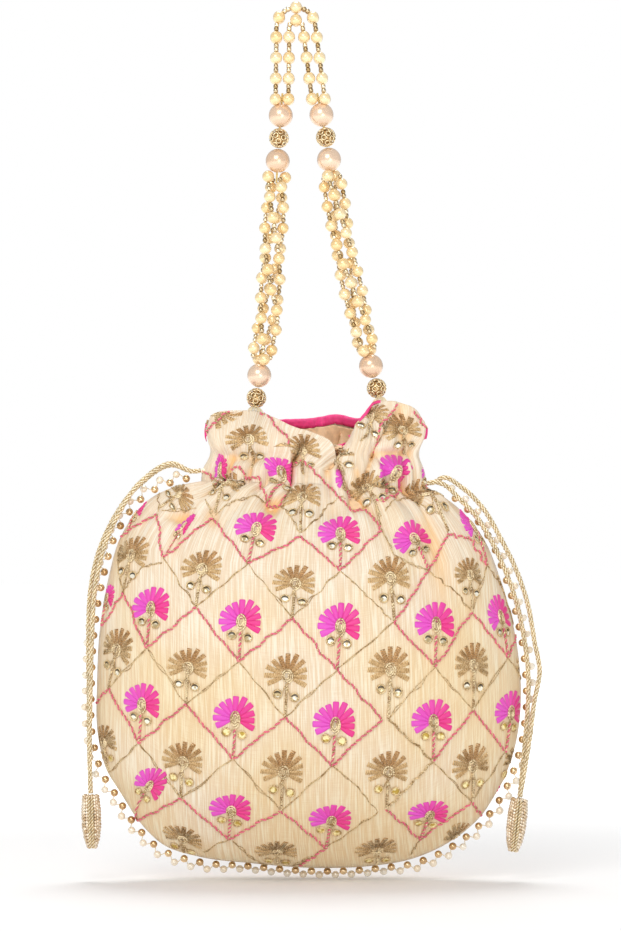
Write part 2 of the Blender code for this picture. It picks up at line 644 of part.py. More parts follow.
def lining_grid(rim):
    """The lining inside one panel: clear of the casing cords, close to the panel at the mouth."""
    grid = panel_grid(rim, pleated=False)
    body_rows = len(BODY_ROWS)
    normals = grid_normals(grid)
    left_x, right_x = grid[:, :1, 0], grid[:, -1:, 0]
    share = (grid[..., 0] - 0.5 * (left_x + right_x)) / (0.5 * (right_x - left_x))
    result = grid.copy()
    below = slice(0, body_rows + 1)
    near = smooth_step(grid[below, :, 2], 150.0, 190.0)
    side_gap = LINING_SIDE_GAP + (LINING_SIDE_GAP_AT_CASING - LINING_SIDE_GAP) * near
    result[below, :, 0] -= side_gap * share[below] ** 3
    result[below, :, 1] -= LINING_GAP + (LINING_GAP_AT_CASING - LINING_GAP) * near
    result[:body_rows, :, 2] += LINING_SIDE_GAP * (1.0 - np.array(BODY_ROWS))[:, None] ** 2
    inset = PANEL_THICKNESS + 2.0 * CLEARANCE
    result[body_rows + 1:] -= inset * (crease_slack(grid) * normals)[body_rows + 1:]
    result[-1] = rim_band(grid, RIM_GAP, FACING_HEIGHT + 2.0 * CLEARANCE, inset, most=0.66)[0]
    result[body_rows + 1:, :, 0] -= 2.0 * share[body_rows + 1:] ** 7
    result[..., 1] = np.maximum(result[..., 1], LINING_THICKNESS + 0.3)
    result[0, :, 1] = 0.0
    result[:, 0, 1] = 0.0
    result[:, -1, 1] = 0.0
    return result


def add_lining(parent):
    """One satin bag inside the panels: its two halves joined down the sides and along the bottom."""
    front = lining_grid(FRONT_RIM)
    back = lining_grid(BACK_RIM)
    for column in (0, -1):
        back[:, column] = front[:, column]
    back[0] = front[0]
    mesh = bpy.data.meshes.new("lining")
    origin = world_origin(parent)
    shell = bmesh.new()
    for grid, side in ((front, -1), (back, 1)):
        points = grid.copy()
        points[..., 1] *= side
        corners = [[shell.verts.new(Vector(spot) * MM - origin) for spot in row] for row in from_bag(points)]
        for row in range(len(corners) - 1):
            for column in range(len(corners[0]) - 1):
                ring = [corners[row][column], corners[row][column + 1],
                        corners[row + 1][column + 1], corners[row + 1][column]]
                shell.faces.new(ring if side < 0 else ring[::-1])
    bmesh.ops.remove_doubles(shell, verts=shell.verts[:], dist=0.00001)
    shell.to_mesh(mesh)
    shell.free()
    item = place("lining", mesh, "beige_satin", parent)
    item.location = (0.0, 0.0, 0.0)
    wall = item.modifiers.new("cloth", "SOLIDIFY")
    wall.thickness = LINING_THICKNESS * MM
    wall.offset = -1.0


def add_edging(parent):
    """Gold beads and pearls in turn along the whole seam, from one end of the casing to the other."""
    seam = [*LEFT_SEAM[::-1], *BOTTOM_SEAM[1:], *RIGHT_SEAM[1:]]
    total = curve_length(seam)
    pitch = (total - 2.0 * EDGING_END_GAP) / EDGING_PAIRS
    stations = [EDGING_END_GAP + 0.5 * pitch * index for index in range(2 * EDGING_PAIRS)]
    line = smooth_curve(seam, stations=stations)
    ahead = smooth_curve(seam, stations=[station + 0.5 for station in stations])
    tangent = ahead - line
    tangent /= np.linalg.norm(tangent, axis=1)[:, None]
    points = []
    radii = []
    for index, ((across, up), (along, rise)) in enumerate(zip(line, tangent)):
        gold = index % 2 == 0
        out = EDGING_GOLD_OUT if gold else EDGING_PEARL_OUT
        tuck = math.radians(EDGING_TUCK_DEGREES) * tuck_share(across, up)
        outward = out * math.cos(tuck)
        points.append((across + outward * rise, out * math.sin(tuck), up - outward * along))
        radii.append(EDGING_GOLD_R if gold else EDGING_PEARL_R)
    swept_string("seam_edging", from_bag(points), radii, EDGING_SECTION, "edging_beads", parent)


def tuck_share(across, up):
    """How far the edging turns under the bag: fully along the middle of the bottom."""
    if up > EDGING_TUCK_HEIGHT:
        return 0.0
    return 1.0 - float(smooth_step(abs(across), EDGING_TUCK_FULL_HALF_WIDTH, EDGING_TUCK_HALF_WIDTH))


def casing_cord(exit_side, step):
    """A drawcord inside the casing: in at one side, round the far end, out beside itself."""
    left_top, right_top = LEFT_SEAM[-1], RIGHT_SEAM[-1]
    half = CASING_CORD_HALF_WIDTH
    depth = CASING_CORD_HALF_DEPTH
    quarter = [(half + 6.5, EXIT_HALF_STEP), (half + 1.5, 2.3), (half - 5.5, 4.2)]
    front = [(exit_side * x, -y) for x, y in quarter]
    for share in (0.62, 0.25, -0.15, -0.55):
        front.append((exit_side * half * share, -depth * (1.0 - abs(share) ** 2.6) ** (1.0 / 1.5)))
    front += [(-exit_side * half * 0.88, -4.6), (-exit_side * half * 0.98, -2.2)]
    tip = [(-exit_side * half, 0.0)]
    flat = [*front, *tip, *[(x, -y) for x, y in reversed(front)]]
    middle = 0.5 * (left_top[0] + right_top[0])
    points = []
    for x, y in flat:
        across = middle + x
        share = (across - left_top[0]) / (right_top[0] - left_top[0])
        up = left_top[1] + share * (right_top[1] - left_top[1]) + CASING_HALF_HEIGHT + step
        points.append((across, y, up))
    return points


def add_drawcords(parent):
    """Each drawcord: the part inside the casing, and its two runs down to a tassel."""
    round_cord("left_drawcord_in_casing", from_bag(casing_cord(-1, CASING_CORD_STEP)), CORD_R,
               "gold_cord", parent)
    round_cord("right_drawcord_in_casing", from_bag(casing_cord(1, -CASING_CORD_STEP)), CORD_R,
               "gold_cord", parent)
    runs = {"left_drawcord_front_run": LEFT_FRONT_RUN, "left_drawcord_back_run": LEFT_BACK_RUN,
            "right_drawcord_front_run": RIGHT_FRONT_RUN, "right_drawcord_back_run": RIGHT_BACK_RUN}
    for name, route in runs.items():
        round_cord(name, from_bag(smooth_curve(route, CORD_POINTS)), CORD_R, "gold_cord", parent)
    profile = [(radius, -down) for radius, down in TASSEL_PROFILE]
    for name, ends in (("left_tassel", LEFT_TASSEL), ("right_tassel", RIGHT_TASSEL)):
        top, bottom = from_bag(ends)
        turned_piece(name, profile, TASSEL_TURN_STEPS, "tassel_beads", parent, top, top - bottom)


def build():
    beads = {side: bead_chain(leg) for side, leg in LEGS.items()}
    upper_middle = 0.5 * (beads["left"]["upper_filigree"] + beads["right"]["upper_filigree"])
    lower_middle = 0.5 * (beads["left"]["lower_filigree"] + beads["right"]["lower_filigree"])
    fold_axis = make_axis("handle_fold_axis", upper_middle)
    tilt_axis = make_axis("bag_tilt_axis", lower_middle, fold_axis)
    add_handle(beads, fold_axis, tilt_axis)
    add_panels(tilt_axis)
    add_facings(tilt_axis)
    add_lining(tilt_axis)
    add_edging(tilt_axis)
    add_drawcords(tilt_axis)


build()
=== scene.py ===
"""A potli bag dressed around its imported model: embroidered silk, beads, cords and tassels.

Metres in Blender, millimetres in the constants below, +Z up, the front of the bag towards -Y.
"""
import math

import bmesh
import bpy
import numpy as np
from mathutils import Matrix, Vector


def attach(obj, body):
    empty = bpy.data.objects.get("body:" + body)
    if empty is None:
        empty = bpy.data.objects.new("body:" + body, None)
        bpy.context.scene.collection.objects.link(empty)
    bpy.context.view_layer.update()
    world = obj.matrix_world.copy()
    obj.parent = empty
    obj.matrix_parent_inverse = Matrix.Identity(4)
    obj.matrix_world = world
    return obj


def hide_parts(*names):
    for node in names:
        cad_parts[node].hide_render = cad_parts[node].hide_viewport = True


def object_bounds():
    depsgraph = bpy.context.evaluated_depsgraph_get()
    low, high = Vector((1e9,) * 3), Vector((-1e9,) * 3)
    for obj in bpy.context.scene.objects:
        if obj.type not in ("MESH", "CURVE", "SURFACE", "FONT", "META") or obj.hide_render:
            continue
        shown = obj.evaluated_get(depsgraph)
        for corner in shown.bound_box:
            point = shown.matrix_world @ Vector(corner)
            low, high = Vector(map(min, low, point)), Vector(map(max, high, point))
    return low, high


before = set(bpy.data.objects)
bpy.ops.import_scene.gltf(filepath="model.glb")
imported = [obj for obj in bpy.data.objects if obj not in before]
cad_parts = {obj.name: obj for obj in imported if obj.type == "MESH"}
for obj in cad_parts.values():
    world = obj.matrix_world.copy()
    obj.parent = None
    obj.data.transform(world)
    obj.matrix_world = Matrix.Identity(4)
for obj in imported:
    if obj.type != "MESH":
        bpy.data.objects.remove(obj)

CAD_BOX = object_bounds()
MM = 0.001
RANDOM = np.random.default_rng(7)

# The photograph's frame: half a millimetre to a pixel in the plane of the seam
PIXEL_MM = 0.5
PHOTO_MIDDLE = (310.5, 465.5)
PHOTO_HEIGHT = 931
CAMERA_DISTANCE = 2400.0
CAMERA_X = 7.25
CAMERA_Z = -219.25

# Where the bag's own measures start: its middle, and the lowest point of its seam
BAG_MIDDLE_X = 7.0
BAG_BOTTOM_Z = -420.5

# Handle
BIG_PEARL_R = 6.0
FILIGREE_R = 5.0
BEAD_STEP = 11.35
LEGS = {
    "left": {
        "upper": (-8.5, -55.6), "lean_above": 4.4, "lean_below": 3.3,
        "lower": (-19.8, -185.5), "lean_low": 7.3,
        "middle": [(-11.7, -111.5), (-13.4, -136.5)], "turn": 270.0, "start": 20.0,
    },
    "right": {
        "upper": (14.9, -55.1), "lean_above": -11.0, "lean_below": -8.2,
        "lower": (40.3, -180.6), "lean_low": -14.3,
        "middle": [(24.0, -111.5), (29.6, -136.5)], "turn": 180.0, "start": 65.0,
    },
}
SMALL_PEARL_R = 3.0
SEED_R = 1.15
SEED_LENGTH = 2.1
LEG_BUNDLE_R = 4.5
LEG_PEARLS = 10
LEG_END_STEP = 8.14
LOOSE_STRAND_BOW = 3.0
LOOP_R = 6.5
LOOP_HALF_STEP = 3.2
LOOP_PEARLS = {"inside": 9, "outside": 11}
HANGER_HALF_WIDTH = 4.2
HANGER_THREADS = 11
FILIGREE_RINGS = 26
FILIGREE_RING = (1.2, 0.34)
FILIGREE_CAP = (1.7, 0.3)

# Outline of the sewn bag, (across from its middle, up from its bottom seam)
LEFT_SEAM = [(-94.5, 37.5), (-101.5, 48.5), (-106.0, 66.0), (-106.5, 94.0), (-105.0, 120.0),
             (-101.0, 144.0), (-94.0, 167.0), (-79.5, 185.0), (-66.0, 191.0), (-54.5, 193.0)]
BOTTOM_SEAM = [(-94.5, 37.5), (-85.5, 23.5), (-73.0, 11.5), (-54.5, 5.5), (-30.0, 2.5), (7.0, 0.0),
               (30.0, 1.0), (50.5, 4.5), (68.0, 12.0), (84.5, 25.0), (97.5, 45.0)]
RIGHT_SEAM = [(97.5, 45.0), (102.5, 60.5), (105.5, 84.0), (104.5, 104.0), (101.0, 124.5),
              (95.0, 145.0), (86.0, 166.0), (73.0, 181.0), (66.0, 186.0), (58.0, 190.0)]
HALF_DEPTH = [(0.0, 1.0), (4.0, 9.0), (12.0, 17.0), (28.0, 27.5), (55.0, 37.0), (90.0, 42.0),
              (125.0, 41.0), (150.0, 36.0), (170.0, 28.0), (183.0, 19.5), (192.0, 14.5), (200.0, 14.0)]
SECTION_POWER = 2.6
SECTION_ROOT = 1.5
CASING_HEIGHT = 8.0
FRONT_RIM = [(-50.5, 219.0, 1.0), (-46.5, 227.5, 6.0), (-39.0, 228.5, 7.0), (-27.0, 227.5, 2.6),
             (-16.0, 224.0, 8.0), (-8.0, 220.5, 14.0), (2.0, 217.5, 16.0), (10.5, 213.5, 15.5),
             (14.0, 208.0, 13.5), (18.0, 204.5, 7.5), (21.0, 213.0, 6.5), (25.0, 224.0, 9.0),
             (31.5, 231.5, 2.6), (39.0, 233.5, 9.0), (47.0, 232.5, 10.0), (54.0, 228.0, 6.0),
             (58.0, 219.0, 1.0)]
BACK_RIM = [(-50.5, 219.0, 1.0), (-46.0, 225.0, 6.0), (-30.0, 224.0, 10.0), (-17.0, 223.5, 11.0),
            (0.0, 224.0, 12.0), (14.0, 226.0, 12.5), (23.0, 224.0, 11.0), (38.0, 227.0, 10.0),
            (52.0, 227.0, 6.0), (58.0, 219.0, 1.0)]
FRILL_FLARE_POWER = 1.3
WAIST_HEIGHT = 207.0
WAIST_SHARE = 0.06
COLUMNS = 186
BODY_ROWS = 140
CASING_ROWS = 8
FRILL_ROWS = 38
CLOTH_THICKNESS = 0.7
LINING_WIDTH_SHARE = 0.965
LINING_BEHIND_BODY = 3.6
LINING_BEHIND_MOUTH = 1.7
LINING_ROWS_BELOW_RIM = 7
THREADS_GATHER_FROM = 150.0
FRONT_CLEAR_ROWS = 1.6
BACK_CLEAR_ROWS = 12.0

# Gathers of each panel: (share across, depth, half width as a share, reach down, reach up, slant)
FRONT_GATHERS = [
    (0.055, 3.0, 0.016, 26.0, 10.0, 0.0), (0.120, 5.5, 0.018, 34.0, 10.0, -0.8),
    (0.215, 3.6, 0.018, 20.0, 9.0, 0.8), (0.300, 4.5, 0.016, 24.0, 6.0, 1.6),
    (0.390, 9.0, 0.020, 14.0, 20.0, 0.0), (0.470, 2.4, 0.020, 44.0, 6.0, 1.4),
    (0.560, 3.0, 0.018, 26.0, 8.0, -1.2), (0.637, 9.5, 0.015, 18.0, 16.0, -3.4),
    (0.700, 3.6, 0.014, 30.0, 8.0, -1.6), (0.738, 5.5, 0.013, 9.0, 34.0, 4.2),
    (0.815, 4.2, 0.018, 36.0, 8.0, -0.8), (0.900, 5.0, 0.018, 46.0, 10.0, 1.2),
    (0.955, 3.0, 0.014, 24.0, 30.0, 0.0),
]
BACK_GATHERS = [
    (0.060, 3.2, 0.016, 30.0, 30.0, 0.0), (0.150, 5.0, 0.020, 40.0, 20.0, 0.2),
    (0.245, 3.6, 0.020, 26.0, 14.0, -0.2), (0.330, 5.5, 0.020, 44.0, 24.0, 0.25),
    (0.430, 3.4, 0.022, 28.0, 12.0, 0.0), (0.520, 5.8, 0.020, 50.0, 26.0, -0.25),
    (0.610, 3.4, 0.020, 26.0, 12.0, 0.2), (0.695, 5.2, 0.020, 40.0, 24.0, 0.0),
    (0.790, 3.8, 0.022, 48.0, 14.0, -0.2), (0.870, 5.0, 0.018, 32.0, 22.0, 0.2),
    (0.945, 3.0, 0.016, 26.0, 30.0, 0.0),
]
GATHER_CREST = 2.6

# Puffs and hollows of each panel's neck: (across, up, height, half width, half height)
FRONT_PUFFS = [
    (-32.0, 218.0, 5.0, 17.0, 10.0), (-31.0, 205.5, -4.2, 17.0, 3.2), (-42.0, 192.0, 3.2, 7.0, 6.5),
    (-18.5, 197.0, 2.0, 5.5, 6.0), (-20.0, 182.0, -4.5, 5.0, 4.5), (-29.0, 186.0, 2.4, 5.0, 6.0),
    (-2.5, 213.0, 1.6, 9.0, 7.0), (-3.5, 191.0, 3.4, 9.5, 9.0), (10.0, 203.0, -2.0, 5.0, 6.0),
    (47.5, 218.0, -5.0, 5.5, 7.5), (36.0, 224.0, 3.0, 6.0, 7.0), (56.0, 216.0, 2.0, 4.5, 8.0),
    (29.0, 212.0, 2.5, 5.0, 6.0), (39.0, 207.0, -4.2, 11.0, 2.6), (40.5, 198.5, 4.6, 9.5, 5.0),
    (22.5, 183.0, -5.5, 4.0, 4.5), (30.0, 187.0, 2.6, 4.5, 5.0), (51.0, 188.0, -3.4, 7.0, 3.0),
    (62.0, 183.0, 2.6, 7.0, 5.0), (-58.0, 183.0, 2.4, 8.0, 4.5), (-66.0, 176.0, -2.6, 9.0, 3.0),
    (45.0, 176.0, 1.8, 9.0, 9.0), (8.0, 178.0, -2.0, 6.0, 6.0), (-48.0, 176.0, -2.6, 5.0, 7.0),
]
BACK_PUFFS = [
    (-34.0, 216.0, 4.0, 13.0, 9.0), (-8.0, 215.0, 3.4, 10.0, 9.0), (20.0, 216.0, 4.0, 12.0, 9.0),
    (44.0, 216.0, 3.0, 8.0, 9.0), (-20.0, 205.0, -3.4, 18.0, 3.2), (30.0, 205.0, -3.4, 18.0, 3.2),
    (-36.0, 189.0, 3.0, 8.0, 7.0), (-6.0, 187.0, 3.2, 9.0, 8.0), (26.0, 188.0, 3.0, 9.0, 8.0),
    (10.0, 181.0, -3.4, 5.0, 6.0), (-22.0, 180.0, -3.4, 5.0, 6.0), (44.0, 181.0, -3.0, 5.0, 6.0),
]

# Edges that hang over the valley beside them: (across and up at both ends, overhang, half width)
FRONT_LEANS = [(-12.0, 214.0, -12.6, 190.0, 3.7, 3.1), (14.5, 207.5, 22.0, 186.0, -3.4, 2.9),
               (45.0, 232.0, 33.5, 209.0, -2.4, 2.6)]
BACK_LEANS = [(-26.0, 218.0, -22.0, 188.0, 3.2, 3.0), (12.0, 218.0, 10.0, 188.0, 3.2, 3.0)]

# Beaded edging
EDGING_PAIRS = 70
EDGING_BEAD_R = 1.9
EDGING_GOLD_OUT = 2.7
EDGING_PEARL_OUT = 5.8
EDGING_TUCK_DEGREES = 50.0
EDGING_TUCK_FULL_HALF_WIDTH = 34.0
EDGING_TUCK_HALF_WIDTH = 62.0
EDGING_TUCK_HEIGHT = 60.0
EDGING_END_GAP = 7.0

# Drawcords: route of each free run, (across, towards the back, up)
CORD_ROUTES = {
    "left_front": [(-54.9, -1.65, 198.6), (-59.0, -1.65, 198.4), (-68.5, -2.8, 202.3),
                   (-84.0, -6.0, 193.4), (-96.2, -7.4, 175.6), (-103.6, -7.6, 157.4),
                   (-107.4, -7.6, 137.5), (-108.6, -7.6, 118.5), (-109.4, -7.6, 89.5),
                   (-109.8, -7.6, 60.0), (-109.4, -8.1, 38.0)],
    "left_back": [(-54.9, 1.65, 198.6), (-59.0, 1.65, 198.4), (-68.0, 0.5, 201.4), (-86.0, -3.4, 190.8),
                  (-98.8, -4.3, 173.4), (-106.2, -4.5, 155.8), (-109.8, -4.5, 137.0),
                  (-110.6, -4.5, 118.0), (-110.4, -4.5, 89.5), (-110.2, -4.6, 60.0), (-109.4, -5.2, 38.0)],
    "right_front": [(58.5, -1.65, 192.4), (62.5, -1.65, 193.0), (66.5, -2.4, 191.9), (74.2, -4.6, 185.0),
                    (83.8, -5.3, 174.6), (91.0, -5.0, 162.6), (98.2, -5.0, 146.9), (104.3, -5.0, 127.9),
                    (107.0, -5.0, 114.0), (109.0, -5.2, 95.0), (108.5, -5.6, 79.5), (107.0, -6.0, 60.5),
                    (104.6, -6.2, 36.2)],
    "right_back": [(58.5, 1.65, 192.4), (62.5, 1.65, 193.0), (66.5, 1.3, 195.2), (75.5, -0.6, 190.6),
                   (86.0, -3.0, 180.4), (94.8, -5.0, 165.5), (102.4, -6.0, 150.2), (108.8, -7.0, 131.1),
                   (111.8, -7.6, 114.0), (114.4, -8.4, 98.7), (111.7, -8.8, 83.5), (109.3, -9.0, 64.3),
                   (104.6, -9.1, 36.2)],
}
BRAID_STRANDS = 4
BRAID_R = 0.84
BRAID_PITCH = 9.6
BRAID_WEAVE = 0.16
TASSEL_STRINGS = 18
TASSEL_STRING_LENGTH = 26.6
TASSEL_BEAD_STEP = 1.55
TASSEL_CORE_R = 2.2
TASSEL_PROFILE = [(0.0, 2.0), (0.8, 4.4), (8.0, 5.0), (16.0, 4.9), (22.0, 4.1), (26.4, 2.6), (27.2, 0.5)]
TASSELS = {"left": ((-109.4, -6.65, 37.3), (-108.6, -6.65, 10.1)),
           "right": ((104.5, -7.65, 35.5), (101.2, -7.65, 8.5))}


# Curves and frames


def smooth_curve(points, count=None, stations=None):
    """Points along a smooth curve through the given ones: evenly spaced, or at the given lengths."""
    points = np.array(points, float)
    chord = np.concatenate([[0.0], np.cumsum(np.linalg.norm(np.diff(points, axis=0), axis=1))])
    slopes = np.gradient(points, chord, axis=0)
    fine = np.linspace(0.0, chord[-1], 40 * len(points))
    piece = np.clip(np.searchsorted(chord, fine, side="right") - 1, 0, len(points) - 2)
    span = (chord[piece + 1] - chord[piece])[:, None]
    t = (fine - chord[piece])[:, None] / span
    curve = ((2 * t**3 - 3 * t**2 + 1) * points[piece] + (t**3 - 2 * t**2 + t) * slopes[piece] * span
             + (3 * t**2 - 2 * t**3) * points[piece + 1] + (t**3 - t**2) * slopes[piece + 1] * span)
    length = np.concatenate([[0.0], np.cumsum(np.linalg.norm(np.diff(curve, axis=0), axis=1))])
    wanted = np.linspace(0.0, length[-1], count) if stations is None else np.array(stations)
    return np.column_stack([np.interp(wanted, length, curve[:, axis]) for axis in range(curve.shape[1])])


def curve_length(points):
    fine = smooth_curve(points, 400)
    return float(np.linalg.norm(np.diff(fine, axis=0), axis=1).sum())


def smooth_step(value, low, high):
    t = np.clip((value - low) / (high - low), 0.0, 1.0)
    return t * t * (3.0 - 2.0 * t)


def from_bag(points):
    """Bag measures (across, back, up) as millimetres from the handle's top."""
    return np.array(points, float) + np.array([BAG_MIDDLE_X, 0.0, BAG_BOTTOM_Z])


def unit(vectors):
    return vectors / np.maximum(np.linalg.norm(vectors, axis=-1, keepdims=True), 1e-9)


# Nodes


class Wire:
    """A node's output; arithmetic on it adds the Math nodes that work it out."""

    def __init__(self, maker, socket):
        self.maker = maker
        self.socket = socket

    def of(self, name):
        """Another output of the same node."""
        return Wire(self.maker, self.socket.node.outputs[name])

    def math(self, operation, *others):
        return self.maker.add("ShaderNodeMath", {"operation": operation}, [self, *others])

    def __add__(self, other):
        return self.math("ADD", other)

    __radd__ = __add__

    def __mul__(self, other):
        return self.math("MULTIPLY", other)

    __rmul__ = __mul__

    def __sub__(self, other):
        return self.math("SUBTRACT", other)

    def __rsub__(self, other):
        return self.maker.add("ShaderNodeMath", {"operation": "SUBTRACT"}, [other, self])

    def __truediv__(self, other):
        return self.math("DIVIDE", other)


class NodeMaker:
    """Builds one node tree."""

    def __init__(self, tree):
        self.tree = tree

    def add(self, kind, settings=None, inputs=(), output=0):
        """A node: its settings first, then the values or wires of its sockets."""
        node = self.tree.nodes.new(kind)
        for name, value in (settings or {}).items():
            if name == "stops":
                self.set_stops(node.color_ramp, value)
            else:
                setattr(node, name, value)
        for key, value in inputs.items() if isinstance(inputs, dict) else enumerate(inputs):
            if isinstance(value, Wire):
                self.tree.links.new(value.socket, node.inputs[key])
            else:
                node.inputs[key].default_value = value
        return Wire(self, node.outputs[output])

    @staticmethod
    def set_stops(ramp, stops):
        while len(ramp.elements) < len(stops):
            ramp.elements.new(0.5)
        for element, (place, colour) in zip(ramp.elements, stops):
            element.position = place
            element.color = (*colour, 1.0)

    def mix(self, share, first, second):
        """A colour between two."""
        ends = {6: first, 7: second}
        ends = {key: value if isinstance(value, Wire) else (*value, 1.0) for key, value in ends.items()}
        return self.add("ShaderNodeMix", {"data_type": "RGBA"}, {0: share, **ends}, 2)

    def noise(self, place, scale, detail=2.0):
        return self.add("ShaderNodeTexNoise", None, {"Vector": place, "Scale": scale, "Detail": detail})

    def stretch(self, place, scale):
        return self.add("ShaderNodeMapping", None, {"Vector": place, "Scale": scale})

    def attribute(self, name):
        return self.add("ShaderNodeAttribute", {"attribute_name": name}, (), "Fac")

    def step(self, value, low, high):
        """0 below low, 1 above high, smooth between."""
        return self.add("ShaderNodeMapRange", {"interpolation_type": "SMOOTHSTEP"},
                        {"Value": value, "From Min": low, "From Max": high})

    def bump(self, height, distance, strength):
        return self.add("ShaderNodeBump", None,
                        {"Strength": strength, "Distance": distance, "Height": height})


def make_finish(name, build, **constants):
    """A Principled material: constants on its sockets, and what build returns wired to the rest."""
    material = bpy.data.materials.new(name)
    material.use_nodes = True
    shader = material.node_tree.nodes["Principled BSDF"]
    for socket, value in constants.items():
        shader.inputs[socket.replace("_", " ")].default_value = value
    for socket, wire in build(NodeMaker(material.node_tree)).items():
        material.node_tree.links.new(wire.socket, shader.inputs[socket])
    return material


def geometry_tree(name, sockets):
    """A geometry node group with named inputs: the group, its maker, its input wires, and its end."""
    group = bpy.data.node_groups.new(name, "GeometryNodeTree")
    group.interface.new_socket("Geometry", in_out="OUTPUT", socket_type="NodeSocketGeometry")
    group.interface.new_socket("Geometry", in_out="INPUT", socket_type="NodeSocketGeometry")
    for label, kind in sockets:
        group.interface.new_socket(label, in_out="INPUT", socket_type=kind)
    maker = NodeMaker(group)
    entry = group.nodes.new("NodeGroupInput")
    given = {socket.name: Wire(maker, socket) for socket in entry.outputs if socket.name}

    def finish(geometry):
        real = maker.add("GeometryNodeRealizeInstances", None, [geometry])
        done = maker.add("GeometryNodeSetMaterial", None, {"Geometry": real, "Material": given["Finish"]})
        leave = group.nodes.new("NodeGroupOutput")
        group.links.new(done.socket, leave.inputs[0])
        return group

    return maker, given, finish


def make_scatter_tree():
    """Sets a template on every point, turned and sized by the point's own attributes."""
    make, given, finish = geometry_tree("set_on_points", [("Template", "NodeSocketObject"),
                                                          ("Finish", "NodeSocketMaterial")])
    turn = make.add("GeometryNodeInputNamedAttribute", {"data_type": "FLOAT_VECTOR"}, {"Name": "turn"})
    size = make.add("GeometryNodeInputNamedAttribute", {"data_type": "FLOAT_VECTOR"}, {"Name": "size"})
    template = make.add("GeometryNodeObjectInfo", None, {"Object": given["Template"]}, "Geometry")
    placed = make.add("GeometryNodeInstanceOnPoints", None,
                      {"Points": given["Geometry"], "Instance": template,
                       "Rotation": make.add("FunctionNodeEulerToRotation", None, [turn]), "Scale": size})
    return finish(placed)


def make_cord_tree():
    """Twists strands round every path; the path's lift attribute says which way is up from it."""
    make, given, finish = geometry_tree(
        "twist_cords",
        [("Strands", "NodeSocketInt"), ("Strand Radius", "NodeSocketFloat"),
         ("Twist Radius", "NodeSocketFloat"), ("Pitch", "NodeSocketFloat"), ("Step", "NodeSocketFloat"),
         ("Weave", "NodeSocketFloat"), ("Weave Pitch", "NodeSocketFloat"), ("Sides", "NodeSocketInt"),
         ("Phase", "NodeSocketFloat"), ("Finish", "NodeSocketMaterial")])
    curve = make.add("GeometryNodeMeshToCurve", None, [given["Geometry"]])
    curve = make.add("GeometryNodeResampleCurve", {"mode": "LENGTH"},
                     {"Curve": curve, "Length": given["Step"]})
    strands = make.add("GeometryNodeDuplicateElements", {"domain": "SPLINE"},
                       {"Geometry": curve, "Amount": given["Strands"]})
    along = make.add("GeometryNodeSplineParameter", None, (), "Length")
    share = strands.of("Duplicate Index") / given["Strands"]
    angle = (along / given["Pitch"] + share + given["Phase"]) * math.tau
    wave = (along / given["Weave Pitch"] + share) * math.tau
    reach = given["Twist Radius"] + given["Weave"] * wave.math("SINE")
    lift = make.add("GeometryNodeInputNamedAttribute", {"data_type": "FLOAT_VECTOR"}, {"Name": "lift"})
    tangent = make.add("GeometryNodeInputTangent")
    side = make.add("ShaderNodeVectorMath", {"operation": "CROSS_PRODUCT"}, [tangent, lift])
    side = make.add("ShaderNodeVectorMath", {"operation": "NORMALIZE"}, [side])
    up = make.add("ShaderNodeVectorMath", {"operation": "CROSS_PRODUCT"}, [side, tangent])
    parts = []
    for direction, amount in ((up, angle.math("COSINE") * reach), (side, angle.math("SINE") * reach)):
        part = make.add("ShaderNodeVectorMath", {"operation": "SCALE"}, {0: direction, "Scale": amount})
        parts.append(part)
    offset = make.add("ShaderNodeVectorMath", {"operation": "ADD"}, parts)
    moved = make.add("GeometryNodeSetPosition", None, {"Geometry": strands, "Offset": offset})
    section = make.add("GeometryNodeCurvePrimitiveCircle", None,
                       {"Resolution": given["Sides"], "Radius": given["Strand Radius"]})
    tube = make.add("GeometryNodeCurveToMesh", None,
                    {"Curve": moved, "Profile Curve": section, "Fill Caps": True})
    return finish(make.add("GeometryNodeSetShadeSmooth", None, [tube]))


SCATTER_TREE = make_scatter_tree()
CORD_TREE = make_cord_tree()


def new_object(name, mesh):
    item = bpy.data.objects.new(name, mesh)
    bpy.context.scene.collection.objects.link(item)
    return item


def points_mesh(name, points, edges=(), **attributes):
    """A mesh of loose points or paths, in metres, with its attributes."""
    mesh = bpy.data.meshes.new(name)
    mesh.from_pydata([tuple(point) for point in np.array(points, float) * MM], list(edges), [])
    for label, values in attributes.items():
        values = np.array(values, float)
        kind = "FLOAT_VECTOR" if values.ndim == 2 else "FLOAT"
        mesh.attributes.new(label, kind, "POINT").data.foreach_set(
            "vector" if values.ndim == 2 else "value", values.ravel())
    return mesh


def run_tree(name, mesh, group, **sizes):
    """The plain mesh that a node group makes of a mesh."""
    helper = new_object(name + "_source", mesh)
    modifier = helper.modifiers.new("make", "NODES")
    modifier.node_group = group
    for item in group.interface.items_tree:
        label = item.name.replace(" ", "_")
        if item.in_out == "INPUT" and label in sizes:
            modifier[item.identifier] = sizes[label]
    graph = bpy.context.evaluated_depsgraph_get()
    made = bpy.data.meshes.new_from_object(helper.evaluated_get(graph), depsgraph=graph)
    bpy.data.objects.remove(helper, do_unlink=True)
    made.name = name
    return made


def turns_for(aims, spins):
    """Euler turns that aim a template's Z along each direction; none for a template that stays as it is."""
    if np.ndim(aims) < 2:
        return np.zeros((aims, 3))
    if spins is None:
        spins = np.zeros(len(aims))
    turns = []
    for aim, spin in zip(aims, spins):
        turn = Vector(aim).to_track_quat("Z", "Y")
        turn.rotate(turn.__class__(Vector(aim).normalized(), spin))
        turns.append(tuple(turn.to_euler()))
    return np.array(turns)


